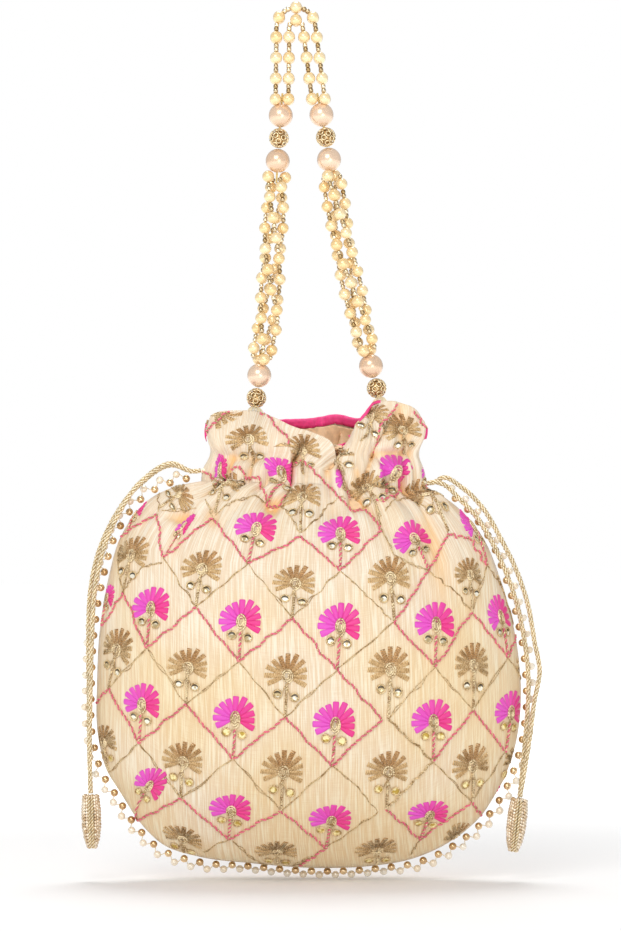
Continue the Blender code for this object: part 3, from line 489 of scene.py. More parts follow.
def scatter(name, template, points, aims, sizes, finish, spins=None, **extra):
    """A mesh of a template set on points; sizes is one number or one triple for each."""
    sizes = np.array(sizes, float)
    if sizes.ndim < 2:
        sizes = np.repeat(np.broadcast_to(sizes, (len(points),))[:, None], 3, axis=1)
    mesh = points_mesh(name, points, turn=turns_for(aims, spins), size=sizes, **extra)
    helper = new_object(name + "_template", template)
    made = run_tree(name, mesh, SCATTER_TREE, Template=helper, Finish=finish)
    bpy.data.objects.remove(helper, do_unlink=True)
    return made


def twist(name, paths, lifts, finish, strand_r, step, strands=1, twist_r=0.0, pitch=3.0,
          weave=0.0, weave_pitch=1.0, sides=5, phase=0.0):
    """A mesh of twisted strands along each path."""
    points = []
    ups = []
    edges = []
    for path, lift in zip(paths, lifts):
        first = len(points)
        points.extend(path)
        ups.extend(np.broadcast_to(lift, (len(path), 3)))
        edges.extend((first + index, first + index + 1) for index in range(len(path) - 1))
    mesh = points_mesh(name, points, edges, lift=ups)
    return run_tree(name, mesh, CORD_TREE, Strands=strands, Strand_Radius=strand_r * MM,
                    Twist_Radius=twist_r * MM, Pitch=pitch * MM, Step=step * MM, Weave=weave * MM,
                    Weave_Pitch=weave_pitch * MM, Sides=sides, Phase=phase, Finish=finish)


def join_meshes(name, meshes):
    """One mesh of several, each with its own materials."""
    made = []
    for index, mesh in enumerate(meshes):
        made.append(new_object(f"{name}_{index}", mesh))
    with bpy.context.temp_override(active_object=made[0], selected_editable_objects=made):
        bpy.ops.object.join()
    mesh = made[0].data
    bpy.data.objects.remove(made[0], do_unlink=True)
    mesh.name = name
    return mesh


def add_piece(name, mesh, body, finish=None, replaced=()):
    """A finished piece of the object, on its body."""
    item = new_object(name, mesh)
    if finish is not None:
        mesh.materials.clear()
        mesh.materials.append(finish)
    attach(item, body)
    if replaced:
        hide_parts(*replaced)
    return item


def grid_mesh(name, grid, side, uv=None, hollow=None):
    """A sheet from a grid of bag measures; side is -1 in front, +1 behind, faces outwards."""
    rows, columns = grid.shape[:2]
    points = grid.copy()
    points[..., 1] *= side
    points = from_bag(points).reshape(-1, 3) * MM
    index = np.arange(rows * columns).reshape(rows, columns)
    quads = np.stack([index[:-1, :-1], index[:-1, 1:], index[1:, 1:], index[1:, :-1]], axis=-1).reshape(-1, 4)
    if side > 0:
        quads = quads[:, ::-1]
    mesh = bpy.data.meshes.new(name)
    mesh.vertices.add(len(points))
    mesh.vertices.foreach_set("co", points.ravel())
    mesh.loops.add(quads.size)
    mesh.loops.foreach_set("vertex_index", quads.ravel())
    mesh.polygons.add(len(quads))
    mesh.polygons.foreach_set("loop_start", np.arange(0, quads.size, 4))
    mesh.polygons.foreach_set("loop_total", np.full(len(quads), 4))
    if uv is not None:
        layer = mesh.uv_layers.new(name="cloth")
        layer.data.foreach_set("uv", uv.reshape(-1, 2)[quads.ravel()].ravel())
    if hollow is not None:
        mesh.attributes.new("hollow", "FLOAT", "POINT").data.foreach_set("value", hollow.ravel())
    mesh.update(calc_edges=True)
    mesh.shade_smooth()
    return mesh


# The cloth of each panel


def seam_at(seam, share):
    return smooth_curve(seam, stations=np.array(share) * curve_length(seam))


LEFT_EDGE = np.vstack([smooth_curve(BOTTOM_SEAM[:6], 80)[::-1], smooth_curve(LEFT_SEAM, 80)])
RIGHT_EDGE = np.vstack([smooth_curve(BOTTOM_SEAM[5:], 80), smooth_curve(RIGHT_SEAM, 80)])
DEPTH_LINE = smooth_curve(HALF_DEPTH, 300)


def seam_across(height):
    """The left and right edge of the cloth at a height."""
    left_x = np.interp(height, np.maximum.accumulate(LEFT_EDGE[:, 1]), LEFT_EDGE[:, 0])
    right_x = np.interp(height, np.maximum.accumulate(RIGHT_EDGE[:, 1]), RIGHT_EDGE[:, 0])
    return left_x, right_x


def section_share(across, height):
    """How deep the bag is at a place, as a share of its depth at the middle of that height."""
    left_x, right_x = seam_across(height)
    share = (across - 0.5 * (left_x + right_x)) / (0.5 * (right_x - left_x))
    share = np.clip(np.abs(share), 0.0, 1.0)
    return (1.0 - share**SECTION_POWER) ** (1.0 / SECTION_ROOT)


def body_grid(columns, rows):
    """Places (across, half depth, up) of one panel below the casing, seam to seam."""
    u = np.linspace(0.0, 1.0, columns + 1)
    v = np.array(rows)
    left = seam_at(LEFT_SEAM, v)
    right = seam_at(RIGHT_SEAM, v)
    bottom = seam_at(BOTTOM_SEAM, u)
    top = np.array(LEFT_SEAM[-1]) + u[:, None] * (np.array(RIGHT_SEAM[-1]) - np.array(LEFT_SEAM[-1]))
    uu = u[None, :, None]
    vv = v[:, None, None]
    corners = ((1 - uu) * (1 - vv) * bottom[0] + uu * (1 - vv) * bottom[-1]
               + (1 - uu) * vv * top[0] + uu * vv * top[-1])
    flat = ((1 - uu) * left[:, None, :] + uu * right[:, None, :]
            + (1 - vv) * bottom[None, :, :] + vv * top[None, :, :] - corners)
    across, up = flat[..., 0], flat[..., 1]
    depth = np.interp(up, DEPTH_LINE[:, 0], DEPTH_LINE[:, 1]) * section_share(across, up)
    depth[0] = 0.0
    depth[:, 0] = 0.0
    depth[:, -1] = 0.0
    return np.stack([across, depth, up], axis=-1)


def smooth_panel(rim):
    """One panel without its gathers, bottom seam to rim."""
    body = body_grid(COLUMNS, np.linspace(0.0, 1.0, BODY_ROWS))
    base = body[-1] + np.array([0.0, 0.0, CASING_HEIGHT])
    casing = [body[-1] + (base - body[-1]) * share for share in np.linspace(0.0, 1.0, CASING_ROWS)[1:]]
    edge = smooth_curve(rim, COLUMNS + 1)[:, [0, 2, 1]]
    frill = []
    for share in np.linspace(0.0, 1.0, FRILL_ROWS)[1:]:
        row = base * (1.0 - share) + edge * share
        row[:, 1] = base[:, 1] * (1.0 - share**FRILL_FLARE_POWER) + edge[:, 1] * share**FRILL_FLARE_POWER
        frill.append(row)
    grid = np.concatenate([body, np.array(casing), np.array(frill)])
    grid[..., 0] *= 1.0 - WAIST_SHARE * np.exp(-((grid[..., 2] - WAIST_HEIGHT) / 7.0) ** 2)
    return grid


def outward(grid):
    """Unit normals of a grid, away from the bag's inside."""
    normal = np.cross(np.gradient(grid, axis=1), np.gradient(grid, axis=0))
    normal = unit(normal)
    flip = np.where(normal[..., 1:2] < -0.02, -1.0, 1.0)
    return unit(normal * flip)


def ripple(grid, seed, waves, reach):
    """Small irregular folds along the cloth, strongest at the casing."""
    draw = np.random.default_rng(seed)
    u = np.linspace(0.0, 1.0, grid.shape[1])[None, :]
    up = grid[..., 2]
    near = np.exp(-np.abs(up - 197.0) / reach)
    total = np.zeros(up.shape)
    for _ in range(waves):
        count = draw.uniform(9.0, 30.0)
        drift = draw.uniform(-0.0012, 0.0012)
        phase = draw.uniform(0.0, math.tau)
        total += np.sin(math.tau * count * (u + drift * (up - 197.0)) + phase) * draw.uniform(0.3, 1.0)
    return total / math.sqrt(waves) * near


def gathers(grid, table):
    """How far the drawn-up cloth stands out from the smooth panel: crests, and the valleys between."""
    u = np.linspace(0.0, 1.0, grid.shape[1])[None, :]
    up = grid[..., 2]
    above = np.maximum(up - 197.0, 0.0)
    below = np.maximum(197.0 - up, 0.0)
    total = GATHER_CREST * np.exp(-(below / 42.0) ** 1.5) * np.exp(-(above / 26.0) ** 2)
    for middle, depth, width, reach_down, reach_up, slant in table:
        along = u - middle - 0.001 * slant * (up - 197.0)
        wide = width * (1.0 + below / 34.0 + above / 60.0)
        reach = np.exp(-(below / reach_down) ** 1.4) * np.exp(-(above / reach_up) ** 1.8)
        total -= depth * np.exp(-(np.abs(along) / wide) ** 1.3) * reach
    pinch = -1.6 * np.exp(-((up - 197.0) / 6.0) ** 2)
    return total + pinch


def puffs(grid, table):
    """How far the cloth swells out or sinks in at the neck."""
    total = np.zeros(grid.shape[:2])
    for across, up, height, half_width, half_height in table:
        away = ((grid[..., 0] - across) / half_width) ** 2 + ((grid[..., 2] - up) / half_height) ** 2
        total += height * np.exp(-away)
    return total


def leans(grid, table):
    """How far each place moves sideways, where one lobe of cloth hangs over the next."""
    total = np.zeros(grid.shape[:2])
    for top_across, top_up, low_across, low_up, overhang, width in table:
        share = np.clip((grid[..., 2] - low_up) / (top_up - low_up), 0.0, 1.0)
        away = (grid[..., 0] - low_across - (top_across - low_across) * share) * np.sign(overhang)
        beyond = np.maximum(grid[..., 2] - top_up, low_up - grid[..., 2]).clip(0.0)
        total += overhang * np.exp(-((away + 0.6 * width) / width) ** 2) * np.exp(-(beyond / 4.0) ** 2)
    return total


def folded_panel(rim, table, swells, overhangs, seed):
    """A smooth panel, its folded form, the folded form's normals, and how hollow each place is."""
    smooth = smooth_panel(rim)
    normal = outward(smooth)
    drawn = gathers(smooth, table) + puffs(smooth, swells)
    height = drawn + 0.7 * ripple(smooth, seed, 7, 30.0)
    long_waves = ripple(smooth, seed + 1, 4, 90.0)
    height += 0.45 * long_waves * smooth_step(smooth[..., 2], 20.0, 90.0)
    u = np.linspace(0.0, 1.0, smooth.shape[1])
    edge = np.clip(np.minimum(u, 1.0 - u) / 0.035, 0.0, 1.0)[None, :]
    low = np.clip(np.arange(len(smooth)) / 14.0, 0.0, 1.0)[:, None]
    folded = smooth + (height * edge * low)[..., None] * normal
    folded[..., 0] += leans(smooth, overhangs) * edge
    folded[..., 1] = np.maximum(folded[..., 1], 0.45)
    folded[:, [0, -1], 1] = 0.0
    return smooth, folded, outward(folded), np.clip(-drawn / 8.0, 0.0, 1.0)


def cloth_lengths(grid):
    """Flat cloth measures of a grid: how far along its row and up its column each point is."""
    across = np.zeros(grid.shape[:2])
    across[:, 1:] = np.cumsum(np.linalg.norm(np.diff(grid, axis=1), axis=-1), axis=1)
    across -= across[:, grid.shape[1] // 2:grid.shape[1] // 2 + 1]
    up = np.zeros(grid.shape[:2])
    up[1:] = np.cumsum(np.linalg.norm(np.diff(grid, axis=0), axis=-1), axis=0)
    return np.stack([across, up], axis=-1)


def sample(field, rows, columns):
    """A grid's values between its points."""
    rows = np.clip(rows, 0.0, field.shape[0] - 1.001)
    columns = np.clip(columns, 0.0, field.shape[1] - 1.001)
    i, j = rows.astype(int), columns.astype(int)
    s, t = (rows - i)[..., None], (columns - j)[..., None]
    return ((1 - s) * (1 - t) * field[i, j] + (1 - s) * t * field[i, j + 1]
            + s * (1 - t) * field[i + 1, j] + s * t * field[i + 1, j + 1])


class Panel:
    """One side of the bag: where a place in the photograph, or on the flat cloth, lies on it."""

    def __init__(self, side, clear_rows, *form):
        """side is -1 in front, +1 behind; the rows next to the rim are clear of embroidery."""
        self.side = side
        self.smooth, self.folded, self.normal, self.hollow = folded_panel(*form)
        self.last_row = len(self.folded) - clear_rows
        self.folded_by_row = np.gradient(self.folded, axis=0)
        self.folded_by_column = np.gradient(self.folded, axis=1)
        self.cloth = cloth_lengths(self.folded)
        drawn_up = int(np.searchsorted(self.smooth[:, COLUMNS // 2, 2], THREADS_GATHER_FROM))
        self.cloth[drawn_up:, :, 0] = self.cloth[drawn_up, :, 0]

    def seen(self, places):
        """Where the camera sees points of the smooth panel, in pixels."""
        near = CAMERA_DISTANCE / (CAMERA_DISTANCE - places[..., 1]) / PIXEL_MM
        return np.stack([PHOTO_MIDDLE[0] + (places[..., 0] + BAG_MIDDLE_X - CAMERA_X) * near,
                         PHOTO_MIDDLE[1] - (places[..., 2] + BAG_BOTTOM_Z - CAMERA_Z) * near], axis=-1)

    def find(self, pixels):
        """Row and column of the smooth panel that the camera sees at each pixel."""
        pixels = np.array(pixels, float)
        picture = self.seen(self.smooth)
        by_row, by_column = np.gradient(picture, axis=0), np.gradient(picture, axis=1)
        flat = picture.reshape(-1, 2)
        nearest = [int(np.argmin(np.sum((flat - pixel) ** 2, axis=1))) for pixel in pixels]
        start = np.array(np.unravel_index(nearest, picture.shape[:2]), float)
        rows, columns = start
        for _ in range(5):
            miss = pixels - sample(picture, rows, columns)
            down, along = sample(by_row, rows, columns), sample(by_column, rows, columns)
            spread = down[:, 0] * along[:, 1] - down[:, 1] * along[:, 0]
            spread = np.where(np.abs(spread) < 1e-3, 1e-3, spread)
            rows = rows + (miss[:, 0] * along[:, 1] - miss[:, 1] * along[:, 0]) / spread
            columns = columns + (miss[:, 1] * down[:, 0] - miss[:, 0] * down[:, 1]) / spread
            rows = np.clip(rows, start[0] - 1.5, start[0] + 1.5)
            columns = np.clip(columns, start[1] - 1.5, start[1] + 1.5)
        return rows, columns

    def world(self, rows, columns, height=0.0):
        """Points on the folded cloth, raised off it, and the way up from it."""
        points = sample(self.folded, rows, columns)
        normals = unit(sample(self.normal, rows, columns))
        points = points + np.asarray(height)[..., None] * normals
        flip = np.array([1.0, self.side, 1.0])
        return from_bag(points * flip), normals * flip


FRONT = Panel(-1, FRONT_CLEAR_ROWS, FRONT_RIM, FRONT_GATHERS, FRONT_PUFFS, FRONT_LEANS, 11)
BACK = Panel(1, BACK_CLEAR_ROWS, BACK_RIM, BACK_GATHERS, BACK_PUFFS, BACK_LEANS, 23)


# Pieces


def leaning(centre, degrees, distance):
    """The point at a distance along a line that leans from the vertical in the handle's plane."""
    angle = math.radians(degrees)
    return np.array(centre) + distance * np.array([math.sin(angle), 0.0, math.cos(angle)])


def bead_chain(leg):
    """Centres of the large beads of one leg, top to bottom."""
    upper = np.array([leg["upper"][0], 0.0, leg["upper"][1]])
    lower = np.array([leg["lower"][0], 0.0, leg["lower"][1]])
    return {
        "upper_pearl": leaning(upper, leg["lean_above"], BEAD_STEP),
        "upper_filigree": upper,
        "middle_pearl": leaning(upper, leg["lean_below"], -BEAD_STEP),
        "lower_pearl": leaning(lower, leg["lean_low"], BEAD_STEP),
        "lower_filigree": lower,
    }


def leg_strand_path(leg, beads, strand):
    """One strand of a leg: it winds round the leg's middle line from pearl to pearl."""
    top = leaning(beads["middle_pearl"], leg["lean_below"], -LEG_END_STEP)
    bottom = leaning(beads["lower_pearl"], leg["lean_low"], LEG_END_STEP)
    middle = [np.array([x, 0.0, z]) for x, z in leg["middle"]]
    line = smooth_curve([top, *middle, bottom], 60)
    tangent = unit(np.gradient(line, axis=0))
    side = np.column_stack([-tangent[:, 2], np.zeros(len(line)), tangent[:, 0]])
    along = np.linspace(0.0, 1.0, len(line))
    angle = np.radians(leg["start"] + 360.0 * strand / 4 + leg["turn"] * along)
    radius = np.full(len(line), LEG_BUNDLE_R)
    if leg is LEGS["left"] and strand == 1:
        radius += LOOSE_STRAND_BOW * np.sin(math.pi * smooth_step(along, 0.45, 1.0)) ** 2
    depth = np.array([0.0, 1.0, 0.0])
    return line + radius[:, None] * (np.cos(angle)[:, None] * side + np.sin(angle)[:, None] * depth)


def loop_strand_path(beads, inward, depth):
    """One strand of the loop: up from the left pearl, round the top, down to the right pearl."""
    reach = LOOP_R - inward * LOOP_HALF_STEP
    left_foot = leaning(beads["left"]["upper_pearl"], LEGS["left"]["lean_above"], LEG_END_STEP)
    right_foot = leaning(beads["right"]["upper_pearl"], LEGS["right"]["lean_above"], LEG_END_STEP)
    rise = np.linspace(0.0, 1.0, 6)[:-1]
    left_line = [left_foot + t * (np.array([-LOOP_R, 0.0, 0.0]) - left_foot) for t in rise]
    right_line = [right_foot + t * (np.array([LOOP_R, 0.0, 0.0]) - right_foot) for t in rise]
    left = [point + [inward * LOOP_HALF_STEP, 0.0, 0.0] for point in left_line]
    right = [point - [inward * LOOP_HALF_STEP, 0.0, 0.0] for point in right_line]
    arc = [np.array([reach * math.cos(turn), 0.0, reach * math.sin(turn)])
           for turn in np.linspace(math.pi, 0.0, 9)]
    path = np.array([*left, *arc, *reversed(right)])
    path[:, 1] += depth * LOOP_HALF_STEP
    return path


def lathe(name, profile, sides):
    """A mesh in millimetre-sized metres: a profile (radius, height) from the top down, turned about Z."""
    points = []
    faces = []
    rings = []
    for radius, height in profile:
        if radius < 1e-6:
            rings.append([len(points)])
            points.append((0.0, 0.0, height * MM))
            continue
        rings.append(list(range(len(points), len(points) + sides)))
        for index in range(sides):
            angle = math.tau * index / sides
            points.append((radius * math.cos(angle) * MM, radius * math.sin(angle) * MM, height * MM))
    for upper, lower in zip(rings, rings[1:]):
        for index in range(sides):
            after = (index + 1) % sides
            if len(upper) == 1:
                faces.append((upper[0], lower[index], lower[after]))
            elif len(lower) == 1:
                faces.append((upper[index], lower[0], upper[after]))
            else:
                faces.append((upper[index], lower[index], lower[after], upper[after]))
    mesh = bpy.data.meshes.new(name)
    mesh.from_pydata(points, [], faces)
    mesh.shade_smooth()
    return mesh


def ball(radius, rings, sides):
    """A round bead whose hole runs along Z."""
    angles = np.linspace(0.0, math.pi, rings + 1)
    return lathe("ball", [(radius * math.sin(turn) if 0 < turn < 3.14 else 0.0, radius * math.cos(turn))
                          for turn in angles], sides)


def seed_bead():
    """A seed bead: a short tube with rounded ends, its hole along Z."""
    half = 0.5 * SEED_LENGTH
    return lathe("seed", [(0.35, half * 0.86), (0.75, half), (SEED_R, half * 0.55), (SEED_R * 1.03, 0.0),
                          (SEED_R, -half * 0.55), (0.75, -half), (0.35, -half * 0.86)], 8)


def string_of_beads(name, path, pearls, whole_ends):
    """Pearls along a path with two seed beads between each pair, and the thread through them."""
    fine = smooth_curve(path, 400)
    total = curve_length(path)
    pitch = total / (pearls - 1 if whole_ends else pearls)
    first = 0.0 if whole_ends else 0.5 * pitch
    centres = [first + index * pitch for index in range(pearls)]
    gap = pitch - 2.0 * SMALL_PEARL_R
    seeds = []
    for index in range(pearls - 1):
        middle = centres[index] + 0.5 * pitch
        step = min(0.5 * gap - 0.15, SEED_LENGTH) * 0.5 + 0.04
        seeds += [middle - step, middle + step]
    if not whole_ends:
        seeds += [first - SMALL_PEARL_R - 0.9, total - first + SMALL_PEARL_R + 0.9]
    meshes = []
    for kind, places, template, finish in (("pearl", centres, PEARL, PEARL_LOOK),
                                           ("seed", seeds, SEED, SEED_LOOK)):
        points = smooth_curve(path, stations=places)
        ahead = smooth_curve(path, stations=[place + 0.4 for place in places])
        behind = smooth_curve(path, stations=[place - 0.4 for place in places])
        spins = RANDOM.uniform(0.0, math.tau, len(points))
        sizes = RANDOM.uniform(0.97, 1.02, len(points))
        meshes.append(scatter(f"{name}_{kind}", template.copy(), points, ahead - behind, sizes, finish,
                              spins, shade=RANDOM.uniform(0.0, 1.0, len(points))))
    meshes.append(twist(name + "_thread", [fine[::4]], [(0.0, 1.0, 0.0)], THREAD_LOOK,
                        strand_r=0.3, step=1.2))
    return meshes


def rim_strip(panel, stations):
    """A strip along a panel's rim: each row is so far below the rim, and so far inside the cloth."""
    grid, normal = panel.folded, panel.normal
    rows = []
    up = unit(grid[-1] - grid[-3])
    run = np.linalg.norm(np.diff(grid, axis=0), axis=-1)[::-1]
    below = np.vstack([np.zeros(grid.shape[1]), np.cumsum(run, axis=0)])
    for distance, inset in stations:
        row = np.empty_like(grid[-1])
        for column in range(grid.shape[1]):
            place = np.interp(distance, below[:, column], np.arange(len(grid)))
            spot = sample(grid, np.array([len(grid) - 1 - place]), np.array([float(column)]))[0]
            row[column] = spot - inset * normal[-2 - int(place), column]
        rows.append(row + min(distance, 0.0) * -up)
    return np.array(rows)


def thicken(name, mesh, thickness):
    """The mesh with a thickness inwards, in place of the flat one."""
    helper = new_object(name + "_flat", mesh)
    wall = helper.modifiers.new("wall", "SOLIDIFY")
    wall.thickness = thickness * MM
    wall.offset = -1.0
    graph = bpy.context.evaluated_depsgraph_get()
    made = bpy.data.meshes.new_from_object(helper.evaluated_get(graph), depsgraph=graph)
    bpy.data.objects.remove(helper, do_unlink=True)
    made.name = name
    return made


def grid_area(grid):
    """A grid's area, in square metres."""
    edge_a = grid[1:, 1:] - grid[:-1, :-1]
    edge_b = grid[1:, :-1] - grid[:-1, 1:]
    return float(0.5 * np.linalg.norm(np.cross(edge_a, edge_b), axis=-1).sum()) * MM * MM


def flat_size(grid):
    """The width and length that a sheet was cut to."""
    lengths = cloth_lengths(grid)
    width = (lengths[:, -1, 0] - lengths[:, 0, 0]).max()
    return width * MM, lengths[-1, :, 1].max() * MM


def add_sheet(name, grid, side, thickness, finish, slot, held, rests_on, replaced, *looks):
    mesh = thicken(name, grid_mesh(name, grid, side, *looks), thickness)
    piece = add_piece(name, mesh, "bag", finish, replaced)
    flat_size(grid)
    grid_area(grid)
    return piece


# Finishes


def srgb(red, green, blue):
    """A colour as it shows on screen, 0 to 255, in the light that a material works with."""
    share = np.array([red, green, blue]) / 255.0
    return tuple(np.where(share <= 0.04045, share / 12.92, ((share + 0.055) / 1.055) ** 2.4))


def silk_look(make):
    cloth = make.add("ShaderNodeUVMap", {"uv_map": "cloth"})
    warp = make.noise(make.stretch(cloth, (1.9, 0.05, 1.0)), 1.0, 2.0)
    weft = make.noise(make.stretch(cloth, (0.12, 2.4, 1.0)), 1.0, 2.0)
    thick = make.step(make.noise(make.stretch(cloth, (0.75, 0.035, 1.0)), 1.0, 1.0), 0.5, 0.66)
    tone = make.step(warp * 0.8 + weft * 0.2 + thick * 0.12, 0.42, 0.68)
    up = make.add("ShaderNodeSeparateXYZ", None, [cloth], 1)
    # Broad patches of warmer, darker cloth, more of them towards the bottom.
    patches = make.noise(make.stretch(cloth, (0.016, 0.016, 1.0)), 1.0, 1.0)
    warm = make.step(patches + up * 0.0018, 0.85, 0.5)
    shade = make.mix(warm, srgb(227, 205, 176), srgb(226, 198, 154))
    light = make.mix(warm, srgb(243, 235, 217), srgb(240, 226, 192))
    # Painted shade: the valleys of the gathers are tinted warm orange, and the deepest of them darkened to
    # brown.
    painted_crease_shade = make.attribute("hollow")
    colour = make.mix(make.step(painted_crease_shade, -0.1, 0.5) * 0.8, make.mix(tone, shade, light), srgb(246, 192, 112))
    colour = make.mix(make.step(painted_crease_shade, 0.55, 1.0) * 0.55, colour, srgb(150, 98, 48))
    height = warp * 0.7 + weft * 0.4 + thick * 0.6
    return {"Base Color": colour, "Normal": make.bump(height, 0.00025, 0.6)}


def shaded_look(low, high):
    """A plain look whose tone goes with each bead's own shade."""
    def build(make):
        return {"Base Color": make.mix(make.attribute("shade"), low, high)}
    return build


def plain_look(colour):
    def build(make):
        place = make.add("ShaderNodeTexCoord", None, (), "Object")
        tone = make.noise(place, 400.0)
        darker = tuple(channel * 0.8 for channel in colour)
        return {"Base Color": make.mix(make.step(tone, 0.3, 0.7), darker, colour)}
    return build


SILK = make_finish("raw_silk_look", silk_look, Roughness=0.62, Sheen_Weight=0.25, Sheen_Roughness=0.4)
SATIN = make_finish("lining_look", plain_look(srgb(254, 220, 176)), Roughness=0.42)
PINK = make_finish("facing_look", plain_look(srgb(255, 72, 148)), Roughness=0.5)
PEARL_LOOK = make_finish("small_pearl_look", shaded_look(srgb(248, 214, 152), srgb(255, 232, 186)),
                         Metallic=0.3, Roughness=0.24, Coat_Weight=0.7, Coat_Roughness=0.1)
EDGE_PEARL_LOOK = make_finish("edging_pearl_look", shaded_look(srgb(248, 232, 206), srgb(255, 248, 234)),
                              Metallic=0.15, Roughness=0.2, Coat_Weight=0.6, Coat_Roughness=0.06)
LARGE_LOOK = make_finish("large_pearl_look", shaded_look(srgb(234, 200, 168), srgb(242, 212, 184)),
                         Metallic=0.35, Roughness=0.26, Coat_Weight=0.7, Coat_Roughness=0.12)
SEED_LOOK = make_finish("seed_look", shaded_look(srgb(168, 140, 92), srgb(250, 236, 206)), Metallic=0.9,
                        Roughness=0.16)
THREAD_LOOK = make_finish("thread_look", plain_look(srgb(240, 214, 140)), Roughness=0.5)
EDGE_THREAD_LOOK = make_finish("edging_thread_look", plain_look(srgb(246, 230, 196)), Roughness=0.6)
WIRE_LOOK = make_finish("filigree_look", plain_look(srgb(255, 234, 190)), Metallic=0.85, Roughness=0.2)
# A darker gold ball inside each filigree bead: painted shade seen through the rings.
FILIGREE_SHADE_BALL = make_finish("filigree_core_look", plain_look(srgb(200, 164, 112)), Metallic=0.8,
                            Roughness=0.25)
CORD_LOOK = make_finish("cord_look", plain_look(srgb(255, 240, 206)), Metallic=0.15, Roughness=0.4)
# A darker copy of the cord's colour: painted shade in the gaps of braids and twisted cords.
CORD_PAINTED_SHADE = make_finish("cord_shade_look", plain_look(srgb(192, 160, 104)), Metallic=0.3, Roughness=0.4)
GOLD_LOOK = make_finish("gold_bead_look", shaded_look(srgb(206, 168, 120), srgb(246, 218, 176)),
                        Metallic=0.95, Roughness=0.17)
TASSEL_LOOK = make_finish("tassel_look", shaded_look(srgb(206, 176, 136), srgb(255, 242, 220)),
                          Metallic=0.6, Roughness=0.18)


# The bag's cloth

add_sheet("front_cloth", FRONT.folded, -1, CLOTH_THICKNESS, SILK, "raw_silk", "gathered",
          ["back_cloth"], ["front_panel"], FRONT.cloth, FRONT.hollow)
add_sheet("back_cloth", BACK.folded, 1, CLOTH_THICKNESS, SILK, "raw_silk", "gathered",
          ["front_cloth"], ["back_panel"], BACK.cloth, BACK.hollow)


def lining_half(panel):
    """The lining behind one panel, clear of it, from the bottom up to just under the facing."""
    body_rows = np.linspace(2, BODY_ROWS, 46)
    mouth_rows = np.linspace(BODY_ROWS, len(panel.folded) - LINING_ROWS_BELOW_RIM, 30)
    rows = np.unique(np.round(np.concatenate([body_rows, mouth_rows]))).astype(int)
    smooth = panel.smooth[rows][:, ::3].copy()
    folded = panel.folded[rows][:, ::3]
    normal = panel.normal[rows][:, ::3]
    near_mouth = smooth_step(smooth[..., 2:3], 188.0, 200.0)
    behind_body = smooth - LINING_BEHIND_BODY * outward(smooth)
    behind_mouth = folded - LINING_BEHIND_MOUTH * normal
    grid = behind_body * (1.0 - near_mouth) + behind_mouth * near_mouth
    grid[..., 1] = np.maximum(grid[..., 1], 0.3)
    grid[:, [0, -1], 1] = 0.0
    grid[0, :, 1] = 0.0
    middle = 0.5 * (grid[:, :1, 0] + grid[:, -1:, 0])
    grid[..., 0] = middle + LINING_WIDTH_SHARE * (grid[..., 0] - middle)
    return grid


FRONT_LINING = lining_half(FRONT)
BACK_LINING = lining_half(BACK)
for COLUMN in (0, -1):
    BACK_LINING[:, COLUMN] = FRONT_LINING[:, COLUMN]
BACK_LINING[0] = FRONT_LINING[0]
LINING_MESH = join_meshes("lining_bag", [
    thicken("lining_front", grid_mesh("lining_front", FRONT_LINING, -1), 0.3),
    thicken("lining_back", grid_mesh("lining_back", BACK_LINING, 1), 0.3)])
LINING = add_piece("satin_lining", LINING_MESH, "bag", SATIN, ["lining"])
LINING_FLAT = flat_size(FRONT_LINING)
2.0 * LINING_FLAT[1]
grid_area(FRONT_LINING) + grid_area(BACK_LINING)

ROLL = [(0.6, 1.05), (-0.1, 1.0), (-0.6, 0.6), (-0.7, 0.1), (-0.45, -0.3), (0.2, -0.42), (1.2, -0.42)]
ROLLED_COLUMNS = (124, 130, 146, 152)
for NAME, PANEL, SIDE, STATIONS in (
        ("front", FRONT, -1, [(7.2, 1.2), (5.6, 1.2), (3.8, 1.2), (2.0, 1.1), *ROLL]),
        ("back", BACK, 1, [(4.0, 1.2), (2.0, 1.1), *ROLL, (3.4, -0.42), (5.6, -0.42)])):
    STRIP = rim_strip(PANEL, STATIONS)
    if SIDE < 0:
        COUNTS = np.arange(COLUMNS + 1)
        ROLLED = smooth_step(COUNTS, *ROLLED_COLUMNS[:2]) * (1.0 - smooth_step(COUNTS, *ROLLED_COLUMNS[2:]))
        STRIP[5:] = STRIP[4] + (STRIP[5:] - STRIP[4]) * (0.05 + 0.95 * ROLLED)[None, :, None]
    STRIP = STRIP[:, 2:-2]
    STRIP[..., 1] = np.maximum(STRIP[..., 1], 0.35)
    add_sheet(f"{NAME}_facing_band", STRIP, SIDE, 0.28, PINK, "pink_satin", "stretched",
              [f"{NAME}_cloth"], [f"{NAME}_facing"])


# Embroidery: motifs and lines are given where the photograph shows them, as pixels

